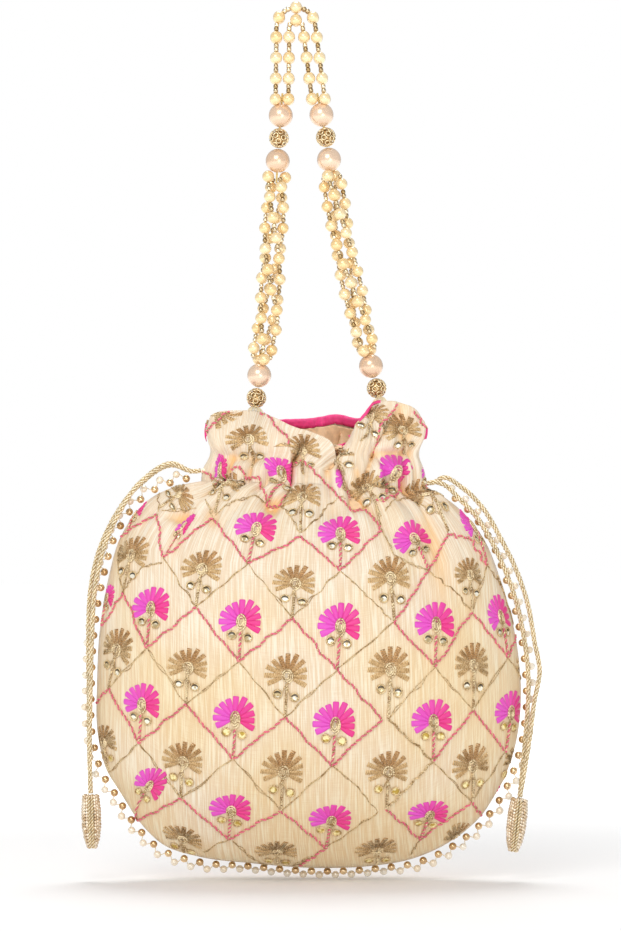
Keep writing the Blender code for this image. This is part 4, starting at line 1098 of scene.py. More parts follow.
PINK_FLOWERS = [
    # (coil centre, foot of the stem)
    ((277, 473), (268, 500)), ((343, 480), (351, 497)), ((393, 473), (385, 497)), ((431, 472), (427, 490)),
    ((221, 469), (215, 486)),
    ((256, 530), (248, 564)), ((340, 535), (340, 571)), ((414, 540), (429, 570)), ((183, 526), (164, 558)),
    ((472, 528), (486, 566)), ((137, 512), (128, 535)), ((108, 598), (102, 626)),
    ((151, 609), (147, 648)), ((241, 622), (239, 662)), ((340, 627), (337, 670)), ((436, 625), (435, 667)),
    ((500, 618), (508, 658)),
    ((142, 705), (139, 743)), ((235, 719), (233, 759)), ((335, 725), (332, 766)), ((433, 722), (433, 761)),
    ((510, 713), (505, 752)),
    ((149, 786), (137, 821)), ((231, 811), (229, 839)), ((331, 821), (326, 848)), ((429, 815), (420, 839)),
    ((498, 791), (490, 826)),
]
GOLD_FLOWERS = [
    ((248, 443), (252, 469)), ((303, 451), (303, 475)), ((344, 456), (351, 476)), ((372, 419), (359, 442)),
    ((404, 431), (406, 455)), ((217, 410), (206, 431)),
    ((227, 487), (215, 512)), ((302, 500), (301, 534)), ((367, 490), (381, 516)), ((180, 497), (160, 508)),
    ((424, 496), (448, 532)),
    ((132, 556), (124, 593)), ((202, 570), (196, 607)), ((295, 584), (292, 618)), ((390, 579), (394, 621)),
    ((469, 576), (472, 612)), ((515, 575), (520, 610)),
    ((117, 650), (109, 688)), ((188, 668), (186, 704)), ((287, 676), (285, 717)), ((390, 670), (388, 719)),
    ((473, 666), (473, 710)), ((521, 668), (524, 704)),
    ((104, 742), (110, 772)), ((183, 762), (181, 798)), ((283, 772), (281, 811)), ((388, 772), (386, 809)),
    ((472, 766), (472, 802)), ((519, 760), (512, 790)),
    ((183, 839), (182, 872)), ((277, 852), (278, 886)), ((377, 850), (377, 884)), ((455, 838), (452, 868)),
]
PINK_ROPES = [
    [(122, 537), (157, 514), (163, 558), (212, 517), (248, 564), (300, 537), (340, 571), (381, 531),
     (373, 517), (361, 508), (352, 512), (322, 480), (303, 460), (285, 470)],
    [(429, 570), (448, 535), (470, 540), (486, 566)], [(394, 622), (429, 570)],
    [(103, 626), (124, 593), (147, 648), (196, 607), (239, 662), (292, 618), (337, 670), (382, 719),
     (332, 766), (285, 717), (233, 759), (186, 704), (139, 743), (109, 688), (97, 703)],
    [(394, 622), (435, 667), (472, 612), (508, 658), (515, 635)],
    [(505, 752), (473, 710), (433, 761)], [(386, 809), (420, 839), (472, 802), (481, 815)],
    [(137, 821), (181, 798), (229, 839), (281, 811), (326, 848), (300, 865)],
    [(234, 410), (223, 417), (212, 431)], [(257, 413), (273, 420), (287, 444)],
    [(232, 469), (241, 467), (246, 479), (260, 477), (266, 503), (280, 504), (286, 483)],
    [(401, 401), (382, 429), (376, 452)], [(414, 411), (425, 429)], [(376, 501), (385, 503), (401, 490)],
    [(196, 472), (203, 470), (216, 481)],
]
GOLD_LINES = [
    [(160, 494), (159, 512)], [(162, 511), (197, 509)], [(206, 501), (212, 515)],
    [(215, 514), (237, 501), (255, 499), (269, 503)], [(280, 504), (289, 515), (300, 534)],
    [(301, 534), (319, 519), (327, 505), (340, 499), (345, 500)], [(163, 558), (196, 607)],
    [(124, 593), (133, 578), (144, 567), (162, 563)], [(124, 593), (119, 566), (121, 545)],
    [(248, 564), (196, 607)], [(248, 564), (292, 618)], [(340, 571), (292, 618)],
    [(340, 571), (358, 587), (375, 604), (391, 620)], [(375, 505), (381, 525)],
    [(381, 529), (393, 555), (429, 571)],
    [(385, 513), (390, 505), (403, 498), (418, 502), (441, 517), (447, 529), (448, 534)],
    [(430, 571), (456, 591), (472, 612)], [(486, 566), (472, 612)], [(486, 566), (501, 585), (514, 624)],
    [(147, 648), (109, 688)], [(147, 648), (186, 704)], [(239, 662), (186, 704)], [(239, 662), (285, 717)],
    [(337, 670), (285, 717)], [(337, 670), (394, 622)], [(435, 667), (388, 719)], [(435, 667), (473, 710)],
    [(508, 658), (473, 710)], [(508, 658), (522, 678)], [(139, 743), (110, 772)], [(139, 743), (181, 798)],
    [(233, 759), (181, 798)], [(233, 759), (281, 811)], [(332, 766), (281, 811)],
    [(332, 766), (356, 785), (378, 812), (326, 848)], [(433, 761), (472, 802)], [(505, 752), (472, 802)],
    [(505, 752), (512, 760)], [(229, 839), (203, 852)], [(232, 841), (255, 860), (268, 866)],
    [(292, 866), (323, 851)], [(420, 839), (410, 855)],
]
GOLD_ROPES = [[(388, 719), (410, 740), (433, 761)], [(433, 761), (410, 785), (386, 809)]]

# One motif, flat: the coil's centre stands so far above the foot of its stem
STEM_TO_COIL = 20.0
PETALS = 11
PETAL_FROM, PETAL_TO = -24.0, 204.0
PINK_REACH = (10.9, 12.0)
GOLD_REACH = (11.0, 11.6)
PINK_HALF_WIDTH = 1.55
GOLD_HALF_WIDTH = 1.2
PINK_COIL = (2.6, 4.4)
GOLD_COIL = (2.9, 3.6)
PINK_RINGS = ((-4.1, STEM_TO_COIL - 6.8), (3.8, STEM_TO_COIL - 7.6))
GOLD_RINGS = ((-4.2, STEM_TO_COIL - 9.0), (4.2, STEM_TO_COIL - 10.2))
RING_SIZE = (2.2, 2.05)
SEQUIN_R = 1.9
BACK_NECK_REACH = 0.36
BACK_NECK_ROWS = 10
MOTIF_SPACING = 100.0
MOTIF_CLEARANCE = 0.06
WALK_STEPS = 8
TRUE_SIZE_DOWN_TO = 11.0
LENGTH_LIMITS = (0.75, 1.06)

# Motifs partly lost in a fold or at the seam: how much of their width and height is left
REDUCED = {(183, 526): (0.3, 0.8), (221, 469): (0.35, 1.0), (343, 480): (0.5, 1.0), (472, 528): (0.6, 1.0),
           (431, 472): (0.5, 0.9), (137, 512): (0.6, 0.9), (149, 786): (0.74, 0.66), (498, 791): (0.6, 0.6),
           (108, 598): (0.6, 0.8), (180, 497): (1.1, 0.7), (469, 576): (0.74, 0.95),
           (500, 618): (0.8, 1.0), (473, 666): (0.92, 1.0)}


def line_tree():
    """A round thread along every path, with a ring at each of the path's own points."""
    make, given, finish = geometry_tree("plain_threads", [("Thread Radius", "NodeSocketFloat"),
                                                          ("Sides", "NodeSocketInt"),
                                                          ("Finish", "NodeSocketMaterial")])
    curve = make.add("GeometryNodeMeshToCurve", None, [given["Geometry"]])
    section = make.add("GeometryNodeCurvePrimitiveCircle", None,
                       {"Resolution": given["Sides"], "Radius": given["Thread Radius"]})
    tube = make.add("GeometryNodeCurveToMesh", None,
                    {"Curve": curve, "Profile Curve": section, "Fill Caps": True})
    return finish(make.add("GeometryNodeSetShadeSmooth", None, [tube]))


LINE_TREE = line_tree()


def threads(name, paths, radius, finish, sides=4):
    """A mesh of plain threads along paths."""
    points = [spot for path in paths for spot in path]
    edges = []
    first = 0
    for path in paths:
        edges += [(first + index, first + index + 1) for index in range(len(path) - 1)]
        first += len(path)
    return run_tree(name, points_mesh(name, points, edges), LINE_TREE, Thread_Radius=radius * MM, Sides=sides,
                    Finish=finish)


def petal_reach(angle, reach):
    """How far a petal goes: the side petals less than the top one."""
    return reach[0] + (reach[1] - reach[0]) * max(0.0, math.sin(angle)) ** 2


def petal_width(distance, half_width):
    """Half a petal's width at a distance from the coil: they touch near it and part further out."""
    step = math.radians(PETAL_TO - PETAL_FROM) / (PETALS - 1)
    return min(0.5 * step * distance * 1.02, half_width)


def petal_mesh(name, reach, half_width, rise, rounding):
    """The fan of satin-stitched petals, domed across, with its own flat measures as a UV map."""
    points = []
    faces = []
    marks = []
    tones = []
    for index in range(PETALS):
        angle = math.radians(PETAL_FROM + (PETAL_TO - PETAL_FROM) * index / (PETALS - 1))
        far = petal_reach(angle, reach) * (0.96 + 0.07 * math.sin(5.0 * index))
        out = np.array([math.cos(angle), math.sin(angle)])
        side = np.array([-math.sin(angle), math.cos(angle)])
        first = len(points)
        stations = [1.6, 3.2, 4.8, 6.6, 8.4, far - 0.5, far - 0.12, far]
        for distance in stations:
            width = petal_width(distance, half_width)
            width *= {far: 0.55, far - 0.12: 0.86}.get(distance, 1.0) if rounding else 1.0
            for across in (-1.0, -0.75, 0.0, 0.75, 1.0):
                spot = out * distance + side * across * width
                height = rise * math.sqrt(max(0.0, 1.0 - across**2)) * (0.35 if distance == far else 1.0)
                points.append((spot[0] * MM, (spot[1] + STEM_TO_COIL) * MM, height * MM))
                marks.append((across * width + 4.0 * index, distance))
                tones.append(index / (PETALS - 1.0))
        for row in range(len(stations) - 1):
            for column in range(4):
                corner = first + row * 5 + column
                faces.append((corner, corner + 5, corner + 6, corner + 1))
    mesh = bpy.data.meshes.new(name)
    mesh.from_pydata(points, [], faces)
    layer = mesh.uv_layers.new(name="cloth")
    ends = np.zeros(len(mesh.loops), dtype=int)
    mesh.loops.foreach_get("vertex_index", ends)
    layer.data.foreach_set("uv", np.array(marks)[ends].ravel())
    mesh.attributes.new("tone", "FLOAT", "POINT").data.foreach_set("value", tones)
    mesh.shade_smooth()
    return mesh


def zigzag_paths(reach, half_width, pitch, height):
    """The couched thread of each gold petal, to and fro across it."""
    paths = []
    for index in range(PETALS):
        angle = math.radians(PETAL_FROM + (PETAL_TO - PETAL_FROM) * index / (PETALS - 1))
        far = petal_reach(angle, reach) * (0.96 + 0.07 * math.sin(5.0 * index))
        out = np.array([math.cos(angle), math.sin(angle), 0.0])
        side = np.array([-math.sin(angle), math.cos(angle), 0.0])
        path = []
        for step, distance in enumerate(np.arange(3.0, far, 0.5 * pitch)):
            width = petal_width(distance, half_width) * (1 if step % 2 else -1)
            path.append(out * distance + side * width + [0.0, STEM_TO_COIL, height])
        paths.append(path)
    return paths


def oval(centre, half_width, half_height, turns=1.0, shrink=0.0, height=0.3, start=0.75, points=28):
    """A ring of thread that may wind inwards."""
    share = np.linspace(0.0, turns, int(points * abs(turns)) + 1)
    angle = math.tau * (share + start)
    size = 1.0 - shrink * share
    return np.column_stack([centre[0] + half_width * size * np.cos(angle),
                            centre[1] + half_height * size * np.sin(angle), np.full(len(share), height)])


def sequin_mesh():
    """A cupped sequin, with its own flat measures from -1 to 1 as a UV map."""
    mesh = lathe("sequin", [(0.0, 0.32), (0.6, 0.34), (1.25, 0.5), (1.85, 0.42), (SEQUIN_R, 0.2)], 14)
    layer = mesh.uv_layers.new(name="cloth")
    for loop in mesh.loops:
        spot = mesh.vertices[loop.vertex_index].co
        layer.data[loop.index].uv = (spot.x / (SEQUIN_R * MM), spot.y / (SEQUIN_R * MM))
    return mesh


def lay_out(count):
    """Where each motif of a row is made flat, before it is laid on the cloth."""
    return [(MOTIF_SPACING * index, 0.0, 0.0) for index in range(count)]


def drape(mesh, panel, heads, feet, sizes):
    """Lays a row of flat motifs on the cloth: each by its head and foot there, row and column."""
    count = len(mesh.vertices)
    flat = np.empty(count * 3)
    mesh.vertices.foreach_get("co", flat)
    flat = flat.reshape(-1, 3) / MM
    motif = np.clip(np.round(flat[:, 0] / MOTIF_SPACING).astype(int), 0, len(heads) - 1)
    across = (flat[:, 0] - MOTIF_SPACING * motif) * sizes[motif, 0]
    along = sample(panel.folded, *heads.T) - sample(panel.folded, *feet.T)
    length = np.linalg.norm(along, axis=1)
    size = (np.clip(length / STEM_TO_COIL, *LENGTH_LIMITS) * sizes[:, 1] / length)[motif]
    below = STEM_TO_COIL - flat[:, 1]
    turn = TRUE_SIZE_DOWN_TO * size
    stem = turn + (1.0 - turn) * (below - TRUE_SIZE_DOWN_TO) / (STEM_TO_COIL - TRUE_SIZE_DOWN_TO)
    share = np.where(below < TRUE_SIZE_DOWN_TO, below * size, stem)[:, None]
    place = heads[motif] + (feet[motif] - heads[motif]) * share
    along = unit(along)[motif]
    step = across / WALK_STEPS
    for _ in range(WALK_STEPS):
        down = sample(panel.folded_by_row, place[:, 0], place[:, 1])
        right = sample(panel.folded_by_column, place[:, 0], place[:, 1])
        normal = unit(sample(panel.normal, place[:, 0], place[:, 1]))
        side = unit(np.cross(normal, along))
        side *= np.sign(np.sum(side * right, axis=1, keepdims=True)) * -panel.side
        move = side * step[:, None]
        a, b, c = (np.sum(down * down, axis=1), np.sum(down * right, axis=1), np.sum(right * right, axis=1))
        p, q = np.sum(down * move, axis=1), np.sum(right * move, axis=1)
        spread = np.maximum(a * c - b * b, 1e-6)
        place = place + np.column_stack([(c * p - b * q) / spread, (a * q - b * p) / spread])
    points, _ = panel.world(place[:, 0], place[:, 1], flat[:, 2] + MOTIF_CLEARANCE)
    mesh.vertices.foreach_set("co", (points * MM).ravel())
    outside = ((place[:, 0] < 0.8) | (place[:, 0] > panel.last_row)
               | (place[:, 1] < 0.8) | (place[:, 1] > COLUMNS - 0.8))
    cut_away(mesh, outside)
    if panel.side > 0:
        mesh.flip_normals()


def cut_away(mesh, outside):
    """Removes the marked vertices, as the seam cuts the cloth."""
    if not outside.any():
        return
    shell = bmesh.new()
    shell.from_mesh(mesh)
    shell.verts.ensure_lookup_table()
    bmesh.ops.delete(shell, geom=[shell.verts[index] for index in np.flatnonzero(outside)], context="VERTS")
    shell.to_mesh(mesh)
    shell.free()


def satin_look(make):
    """Satin stitch: fine threads along each petal, from magenta at one side to hot pink at the other."""
    place = make.add("ShaderNodeUVMap", {"uv_map": "cloth"})
    fibre = make.noise(make.stretch(place, (5.0, 0.35, 1.0)), 1.0, 1.0)
    tone = make.attribute("tone") + (fibre - 0.5) * 0.7
    colour = make.mix(make.step(tone, 0.1, 0.9), srgb(232, 50, 138), srgb(228, 78, 196))
    return {"Base Color": colour, "Normal": make.bump(fibre, 0.0002, 0.5)}


def zari_look(light, dark):
    """Metal thread wound round a core: fine light and dark along its length."""
    def build(make):
        place = make.add("ShaderNodeTexCoord", None, (), "Object")
        fleck = make.noise(place, 1500.0, 1.0)
        wide = make.noise(place, 260.0, 1.0)
        tone = make.step(fleck * 0.6 + wide * 0.4, 0.36, 0.62)
        return {"Base Color": make.mix(tone, dark, light), "Normal": make.bump(fleck, 0.0002, 0.5)}
    return build


def gold_petal_look(make):
    """Petals of couched metal thread, with a painted reflection: brown on the petals that point up, pale on
    those at the sides.
    """
    place = make.add("ShaderNodeUVMap", {"uv_map": "cloth"})
    rows = make.noise(make.stretch(place, (0.5, 3.0, 1.0)), 1.0, 1.0)
    top = make.attribute("tone") - 0.5
    top = 1.0 - make.step(top.math("ABSOLUTE"), 0.08, 0.34)
    pale = make.mix(make.step(rows, 0.4, 0.6), srgb(202, 158, 102), srgb(238, 206, 152))
    brown = make.mix(make.step(rows, 0.4, 0.6), srgb(152, 98, 44), srgb(208, 150, 86))
    return {"Base Color": make.mix(top * 0.75, pale, brown), "Normal": make.bump(rows, 0.0003, 0.8)}


def sequin_look(make):
    """A sequin with a painted reflection: a dark crescent standing for the dark of a room, or yellow gold for
    its lamps, with painted glints.
    """
    place = make.add("ShaderNodeUVMap", {"uv_map": "cloth"})
    parts = make.add("ShaderNodeSeparateXYZ", None, [place])
    x, y = parts, parts.of("Y")
    lower = y + 0.55
    ring = (x * x + lower * lower).math("SQRT")
    # Painted glints: bright spots from noise; painted reflection: a dark crescent over the sequin's upper
    # part.
    glint = make.noise(make.add("ShaderNodeTexCoord", None, (), "Object"), 420.0, 1.0)
    crescent = make.step(ring, 0.8, 0.94) * make.step(y + glint * 0.8, 0.35, 0.6)
    dark = make.attribute("shade")
    bright = make.mix(make.step(glint, 0.4, 0.56), srgb(196, 164, 70), srgb(255, 240, 180))
    pale = make.mix(make.step(glint, 0.4, 0.6), srgb(196, 174, 128), srgb(255, 250, 232))
    colour = make.mix(make.step(dark, 0.35, 0.6), bright, pale)
    return {"Base Color": make.mix(crescent * make.step(dark, 0.3, 0.6) * 0.9, colour, srgb(58, 42, 20))}


SATIN_STITCH = make_finish("satin_stitch_look", satin_look, Roughness=0.42, Sheen_Weight=0.2)
ZARI = make_finish("zari_look", zari_look(srgb(255, 236, 194), srgb(160, 120, 68)), Metallic=0.25,
                   Roughness=0.36)
ZARI_DARK = make_finish("zari_line_look", zari_look(srgb(240, 214, 164), srgb(164, 126, 76)), Metallic=0.15,
                        Roughness=0.42)
GOLD_PETAL = make_finish("gold_petal_look", gold_petal_look, Metallic=0.25, Roughness=0.42)
SEQUIN = make_finish("sequin_look", sequin_look, Metallic=0.35, Roughness=0.14)
PINK_THREAD = make_finish("pink_thread_look", plain_look(srgb(248, 118, 146)), Roughness=0.55)


def motif_meshes(name, kind, panel, motifs, detail):
    """Every motif of one kind on a panel: petals, coil, sequins and stem, laid on the cloth."""
    heads = np.column_stack(FRONT.find([head for head, _ in motifs]))
    if panel is BACK:
        on_body = heads[:, 0] < BODY_ROWS - BACK_NECK_ROWS
        kept = on_body | (np.abs(heads[:, 1] / COLUMNS - 0.5) < BACK_NECK_REACH)
        motifs = [motif for motif, keep in zip(motifs, kept) if keep]
        heads = heads[kept]
    feet = np.column_stack(FRONT.find([foot for _, foot in motifs]))
    spots = lay_out(len(motifs))
    ones = np.ones(len(spots))
    # Painted reflection: sequins high on the bag get the pale tone with the dark crescent, lower ones the
    # yellow gold, some at random.
    dark = np.array([1.0 - smooth_step(head[1], 660.0, 740.0) for head, _ in motifs])
    dark += RANDOM.uniform(-0.25, 0.25, len(motifs))
    pink = kind == "pink"
    reach = PINK_REACH if pink else GOLD_REACH
    half_width = PINK_HALF_WIDTH if pink else GOLD_HALF_WIDTH
    petals = petal_mesh(name + "_petals", reach, half_width, 0.55 if pink else 0.25, pink)
    parts = [(petals, SATIN_STITCH if pink else GOLD_PETAL)]
    if not pink and detail > 1:
        parts.append((threads("zigzag", zigzag_paths(reach, half_width, 1.1, 0.36), 0.2, ZARI), ZARI))
    coil_size = PINK_COIL if pink else GOLD_COIL
    coil = oval((0.0, STEM_TO_COIL), *coil_size, turns=2.4, shrink=0.3, height=0.66, points=12 + 6 * detail)
    low = STEM_TO_COIL - coil_size[1]
    left, right = PINK_RINGS if pink else GOLD_RINGS
    rings = []
    for centre, way, start in ((left, 1, 0.05), (right, -1, 0.45)):
        ring = oval(centre, *RING_SIZE, 1.15 * way, 0.05 * way, 0.5, start, 10 + 4 * detail)
        rings.append(np.vstack([[(0.0, low, 0.4)], ring]))
    parts.append((threads("coil", [coil], 0.46, ZARI, 4 + detail // 2), ZARI))
    parts.append((threads("rings", rings, 0.4, ZARI_DARK, 4 + detail // 2), ZARI_DARK))
    stem = [[0.0, low, 0.35], [0.1, 0.5 * low, 0.35], [0.0, 0.3, 0.35]]
    for strand, finish in enumerate((ZARI, PINK_THREAD if pink else ZARI)):
        parts.append((twist("stem", [smooth_curve(stem, 14)], [(0.0, 0.0, 1.0)], finish, strand_r=0.42,
                            twist_r=0.46, pitch=2.8, step=0.5, sides=4, phase=0.5 * strand), finish))
    made = []
    for template, finish in parts:
        made.append(scatter(f"{name}_part", template, spots, len(spots), ones, finish))
    discs = sequin_mesh()
    for centre in (left, right):
        disc = discs.copy()
        disc.transform(Matrix.Translation(Vector((*centre, 0.0)) * MM))
        made.append(scatter(f"{name}_sequins", disc, spots, len(spots), ones, SEQUIN, shade=dark))
    sizes = np.array([REDUCED.get(head, (1.0, 1.0)) for head, _ in motifs])
    for mesh in made:
        drape(mesh, panel, heads, feet, sizes)
    return made


def laid_paths(panel, lines, height, wander, seed, spacing=1.6):
    """Lines given by pixels, followed on the cloth, a little unsteady as hand couching is."""
    draw = np.random.default_rng(seed)
    paths = []
    lifts = []
    for line in lines:
        corners = np.array(line, float)
        spots = []
        for start, end in zip(corners, corners[1:]):
            run = end - start
            count = max(3, int(np.linalg.norm(run) / spacing))
            share = np.linspace(0.0, 1.0, count, endpoint=False)
            across = np.array([-run[1], run[0]]) / np.linalg.norm(run)
            waves = np.zeros(count)
            for _ in range(3):
                strength = draw.uniform(0.3, 1.0)
                waves += strength * np.sin(math.tau * (draw.uniform(0.4, 3.2) * share + draw.uniform()))
            waves *= np.sin(math.pi * share) ** 0.5
            spots.append(start + run * share[:, None] + across * (wander * waves)[:, None])
        spots = np.vstack([*spots, corners[-1:]])
        rows, columns = FRONT.find(spots)
        covered = rows > panel.last_row
        for run in np.split(np.arange(len(rows)), np.flatnonzero(np.diff(covered)) + 1):
            if len(run) > 3 and not covered[run[0]]:
                points, lift = panel.world(rows[run], columns[run], np.full(len(run), height))
                paths.append(points)
                lifts.append(lift)
    return paths, lifts


def lattice_meshes(name, panel, detail):
    """The lattice: ropes of pink and metal thread, and pairs of fine metal threads."""
    step = 0.6 if detail > 1 else 0.8
    made = []
    for label, lines, strands in (("pink", PINK_ROPES, ((PINK_THREAD, 0.42), (ZARI_DARK, 0.26))),
                                  ("gold", GOLD_ROPES, ((ZARI, 0.3), (ZARI_DARK, 0.34)))):
        paths, lifts = laid_paths(panel, lines, 0.4, 1.0, 31)
        for strand, (finish, radius) in enumerate(strands):
            made.append(twist(f"{name}_{label}_{strand}", paths, lifts, finish, strand_r=radius, twist_r=0.4,
                              pitch=3.4, step=step, sides=4, phase=0.5 * strand))
    for strand in range(2):
        paths, lifts = laid_paths(panel, GOLD_LINES, 0.22, 1.1, 41 + strand, 2.4)
        made.append(twist(f"{name}_thin_{strand}", paths, lifts, ZARI_DARK, strand_r=0.24, twist_r=0.0,
                          pitch=3.0, step=1.0, sides=3))
    return made


for NAME, PANEL, DETAIL in (("front", FRONT, 2), ("back", BACK, 1)):
    MESHES = motif_meshes(f"{NAME}_pink", "pink", PANEL, PINK_FLOWERS, DETAIL)
    add_piece(f"{NAME}_pink_motifs", join_meshes(f"{NAME}_pink", MESHES), "bag")
    MESHES = motif_meshes(f"{NAME}_gold", "gold", PANEL, GOLD_FLOWERS, DETAIL)
    add_piece(f"{NAME}_gold_motifs", join_meshes(f"{NAME}_gold", MESHES), "bag")
    add_piece(f"{NAME}_lattice", join_meshes(f"{NAME}_lattice", lattice_meshes(NAME, PANEL, DETAIL)), "bag")

# Handle

PEARL = ball(SMALL_PEARL_R, 12, 16)
SEED = seed_bead()
LARGE_PEARL = ball(BIG_PEARL_R, 28, 40)
CHAINS = {side: bead_chain(leg) for side, leg in LEGS.items()}

for NAME, (INWARD, DEPTH) in {"front_inside": (1, -1), "back_inside": (1, 1),
                              "front_outside": (-1, -1), "back_outside": (-1, 1)}.items():
    MESHES = string_of_beads(f"loop_{NAME}", loop_strand_path(CHAINS, INWARD, DEPTH),
                             LOOP_PEARLS["inside" if INWARD > 0 else "outside"], True)
    add_piece(f"loop_pearls_{NAME}", join_meshes(f"loop_{NAME}", MESHES), "handle_top",
              replaced=[f"loop_strand_{NAME}"])


def hanger(name, centre, axis):
    """Threads that fan out from a ball's lower end to the rim of the front cloth."""
    rim = from_bag(FRONT.folded[-1] * np.array([1.0, -1.0, 1.0]))
    start = np.array(centre) - (FILIGREE_R - 0.6) * np.array(axis)
    paths = []
    for offset in np.linspace(-HANGER_HALF_WIDTH, HANGER_HALF_WIDTH, HANGER_THREADS):
        end = rim[np.argmin(np.abs(rim[:, 0] - start[0] - offset))]
        middle = 0.5 * (start + end) + np.array([0.12 * offset, -0.3, 0.3])
        paths.append(smooth_curve([start, middle, end + np.array([0.0, 0.2, -1.0])], 8))
    return threads(name, paths, 0.34, EDGE_THREAD_LOOK, 5)


def filigree_ball(name, centre, axis, *more):
    """An open ball of little wire rings, with a cap ring at each end of its hole, round a darker solid ball
    that stands in for the shade seen through the rings.
    """
    golden = math.pi * (3.0 - math.sqrt(5.0))
    spots = []
    for index in range(FILIGREE_RINGS):
        height = 1.0 - 2.0 * (index + 0.5) / FILIGREE_RINGS
        reach = math.sqrt(1.0 - height * height)
        spots.append((reach * math.cos(golden * index), reach * math.sin(golden * index), height))
    turn = Vector(axis).to_track_quat("Z", "Y")
    aims = np.array([tuple(turn @ Vector(spot)) for spot in spots])
    points = np.array(centre) + aims * (FILIGREE_R - 0.5)
    rings = scatter(name + "_rings", torus(*FILIGREE_RING, 12, 5), points, aims, 1.0, WIRE_LOOK)
    ends = np.array([tuple(turn @ Vector((0, 0, sign))) for sign in (1, -1)])
    caps = scatter(name + "_caps", torus(*FILIGREE_CAP, 16, 6), np.array(centre) + ends * (FILIGREE_R - 0.7),
                   ends, 1.0, WIRE_LOOK)
    core = scatter(name + "_core", ball(FILIGREE_R - 1.1, 12, 18), [centre], [axis], 1.0, FILIGREE_SHADE_BALL)
    return join_meshes(name, [rings, caps, core, *more])


def torus(radius, wire, around, sides):
    points = []
    faces = []
    for index in range(around):
        turn = math.tau * index / around
        for step in range(sides):
            tilt = math.tau * step / sides
            reach = radius + wire * math.cos(tilt)
            points.append((reach * math.cos(turn) * MM, reach * math.sin(turn) * MM,
                           wire * math.sin(tilt) * MM))
            faces.append((index * sides + step, (index + 1) % around * sides + step,
                          (index + 1) % around * sides + (step + 1) % sides,
                          index * sides + (step + 1) % sides))
    mesh = bpy.data.meshes.new("ring")
    mesh.from_pydata(points, [], faces)
    mesh.shade_smooth()
    return mesh


for SIDE_NAME, LEG in LEGS.items():
    CHAIN = CHAINS[SIDE_NAME]
    for STRAND in range(4):
        STAGGERED = STRAND % 2 == 1
        MESHES = string_of_beads(f"{SIDE_NAME}_{STRAND}", leg_strand_path(LEG, CHAIN, STRAND),
                                 LEG_PEARLS - STAGGERED, not STAGGERED)
        add_piece(f"{SIDE_NAME}_leg_pearls_{STRAND + 1}", join_meshes(f"{SIDE_NAME}_{STRAND}", MESHES),
                  "handle_legs", replaced=[f"{SIDE_NAME}_leg_strand_{STRAND + 1}"])
    for PLACE, LEAN, BODY in (("upper_pearl", "lean_above", "handle_top"),
                              ("middle_pearl", "lean_below", "handle_legs"),
                              ("lower_pearl", "lean_low", "handle_legs")):
        AIM = leaning((0, 0, 0), LEG[LEAN], 1.0)
        MESH = scatter("large_pearl", LARGE_PEARL.copy(), [CHAIN[PLACE]], [AIM], 1.0, LARGE_LOOK,
                       shade=RANDOM.uniform(0, 1, 1))
        add_piece(f"{SIDE_NAME}_{PLACE}_bead", MESH, BODY,
                  replaced=[f"{SIDE_NAME}_{PLACE}"])
    for PLACE, LEAN, BODY in (("upper_filigree", "lean_below", "handle_top"),
                              ("lower_filigree", "lean_low", "bag")):
        AIM = leaning((0, 0, 0), LEG[LEAN], 1.0)
        MORE = [hanger(f"{SIDE_NAME}_hanger", CHAIN[PLACE], AIM)] if BODY == "bag" else []
        MESH = filigree_ball(f"{SIDE_NAME}_{PLACE}", CHAIN[PLACE], AIM, *MORE)
        REPLACED = [f"{SIDE_NAME}_{PLACE}"] + [f"{SIDE_NAME}_hanger_thread"] * len(MORE)
        add_piece(f"{SIDE_NAME}_{PLACE}_bead", MESH, BODY, replaced=REPLACED)


# Edging


def tuck_share(across, up):
    """How far the edging turns under the bag: fully along the middle of the bottom."""
    if up > EDGING_TUCK_HEIGHT:
        return 0.0
    return 1.0 - float(smooth_step(abs(across), EDGING_TUCK_FULL_HALF_WIDTH, EDGING_TUCK_HALF_WIDTH))


def edging_spots():
    """Centres of the edging's beads, gold ones first and then every other, and the way out from the seam."""
    seam = [*LEFT_SEAM[::-1], *BOTTOM_SEAM[1:], *RIGHT_SEAM[1:]]
    pitch = (curve_length(seam) - 2.0 * EDGING_END_GAP) / EDGING_PAIRS
    stations = [EDGING_END_GAP + 0.5 * pitch * index for index in range(2 * EDGING_PAIRS)]
    line = smooth_curve(seam, stations=stations)
    tangent = unit(smooth_curve(seam, stations=[station + 0.5 for station in stations]) - line)
    centres = []
    outs = []
    for index, ((across, up), (along, rise)) in enumerate(zip(line, tangent)):
        out = EDGING_PEARL_OUT if index % 2 else EDGING_GOLD_OUT
        tuck = math.radians(EDGING_TUCK_DEGREES) * tuck_share(across, up)
        outs.append((rise * math.cos(tuck), math.sin(tuck), -along * math.cos(tuck)))
        centres.append((across + out * outs[-1][0], out * outs[-1][1], up + out * outs[-1][2]))
    return from_bag(centres), np.array(outs), np.column_stack([tangent[:, 0], 0 * line[:, 0], tangent[:, 1]])


SPOTS, OUTS, ALONGS = edging_spots()
EDGE_BALL = ball(EDGING_BEAD_R, 10, 14)
EDGING = []
for FIRST, FINISH, SIZE in ((0, GOLD_LOOK, 1.02), (1, EDGE_PEARL_LOOK, 1.0)):
    COUNT = len(SPOTS[FIRST::2])
    EDGING.append(scatter(f"edging_{FIRST}", EDGE_BALL.copy(), SPOTS[FIRST::2], ALONGS[FIRST::2],
                          SIZE * RANDOM.uniform(0.96, 1.02, COUNT), FINISH,
                          RANDOM.uniform(0, math.tau, COUNT), shade=RANDOM.uniform(0, 1, COUNT)))
EDGING_PATH = SPOTS + np.where(np.arange(len(SPOTS)) % 2, 1.0, -0.6)[:, None] * OUTS
EDGING.append(twist("edging_thread", [smooth_curve(EDGING_PATH, 560)], [(0.0, 1.0, 0.0)], EDGE_THREAD_LOOK,
                    strand_r=0.22, step=1.0))
add_piece("beaded_edging", join_meshes("beaded_edging", EDGING), "bag",
          replaced=["seam_edging"])


# Drawcords and tassels


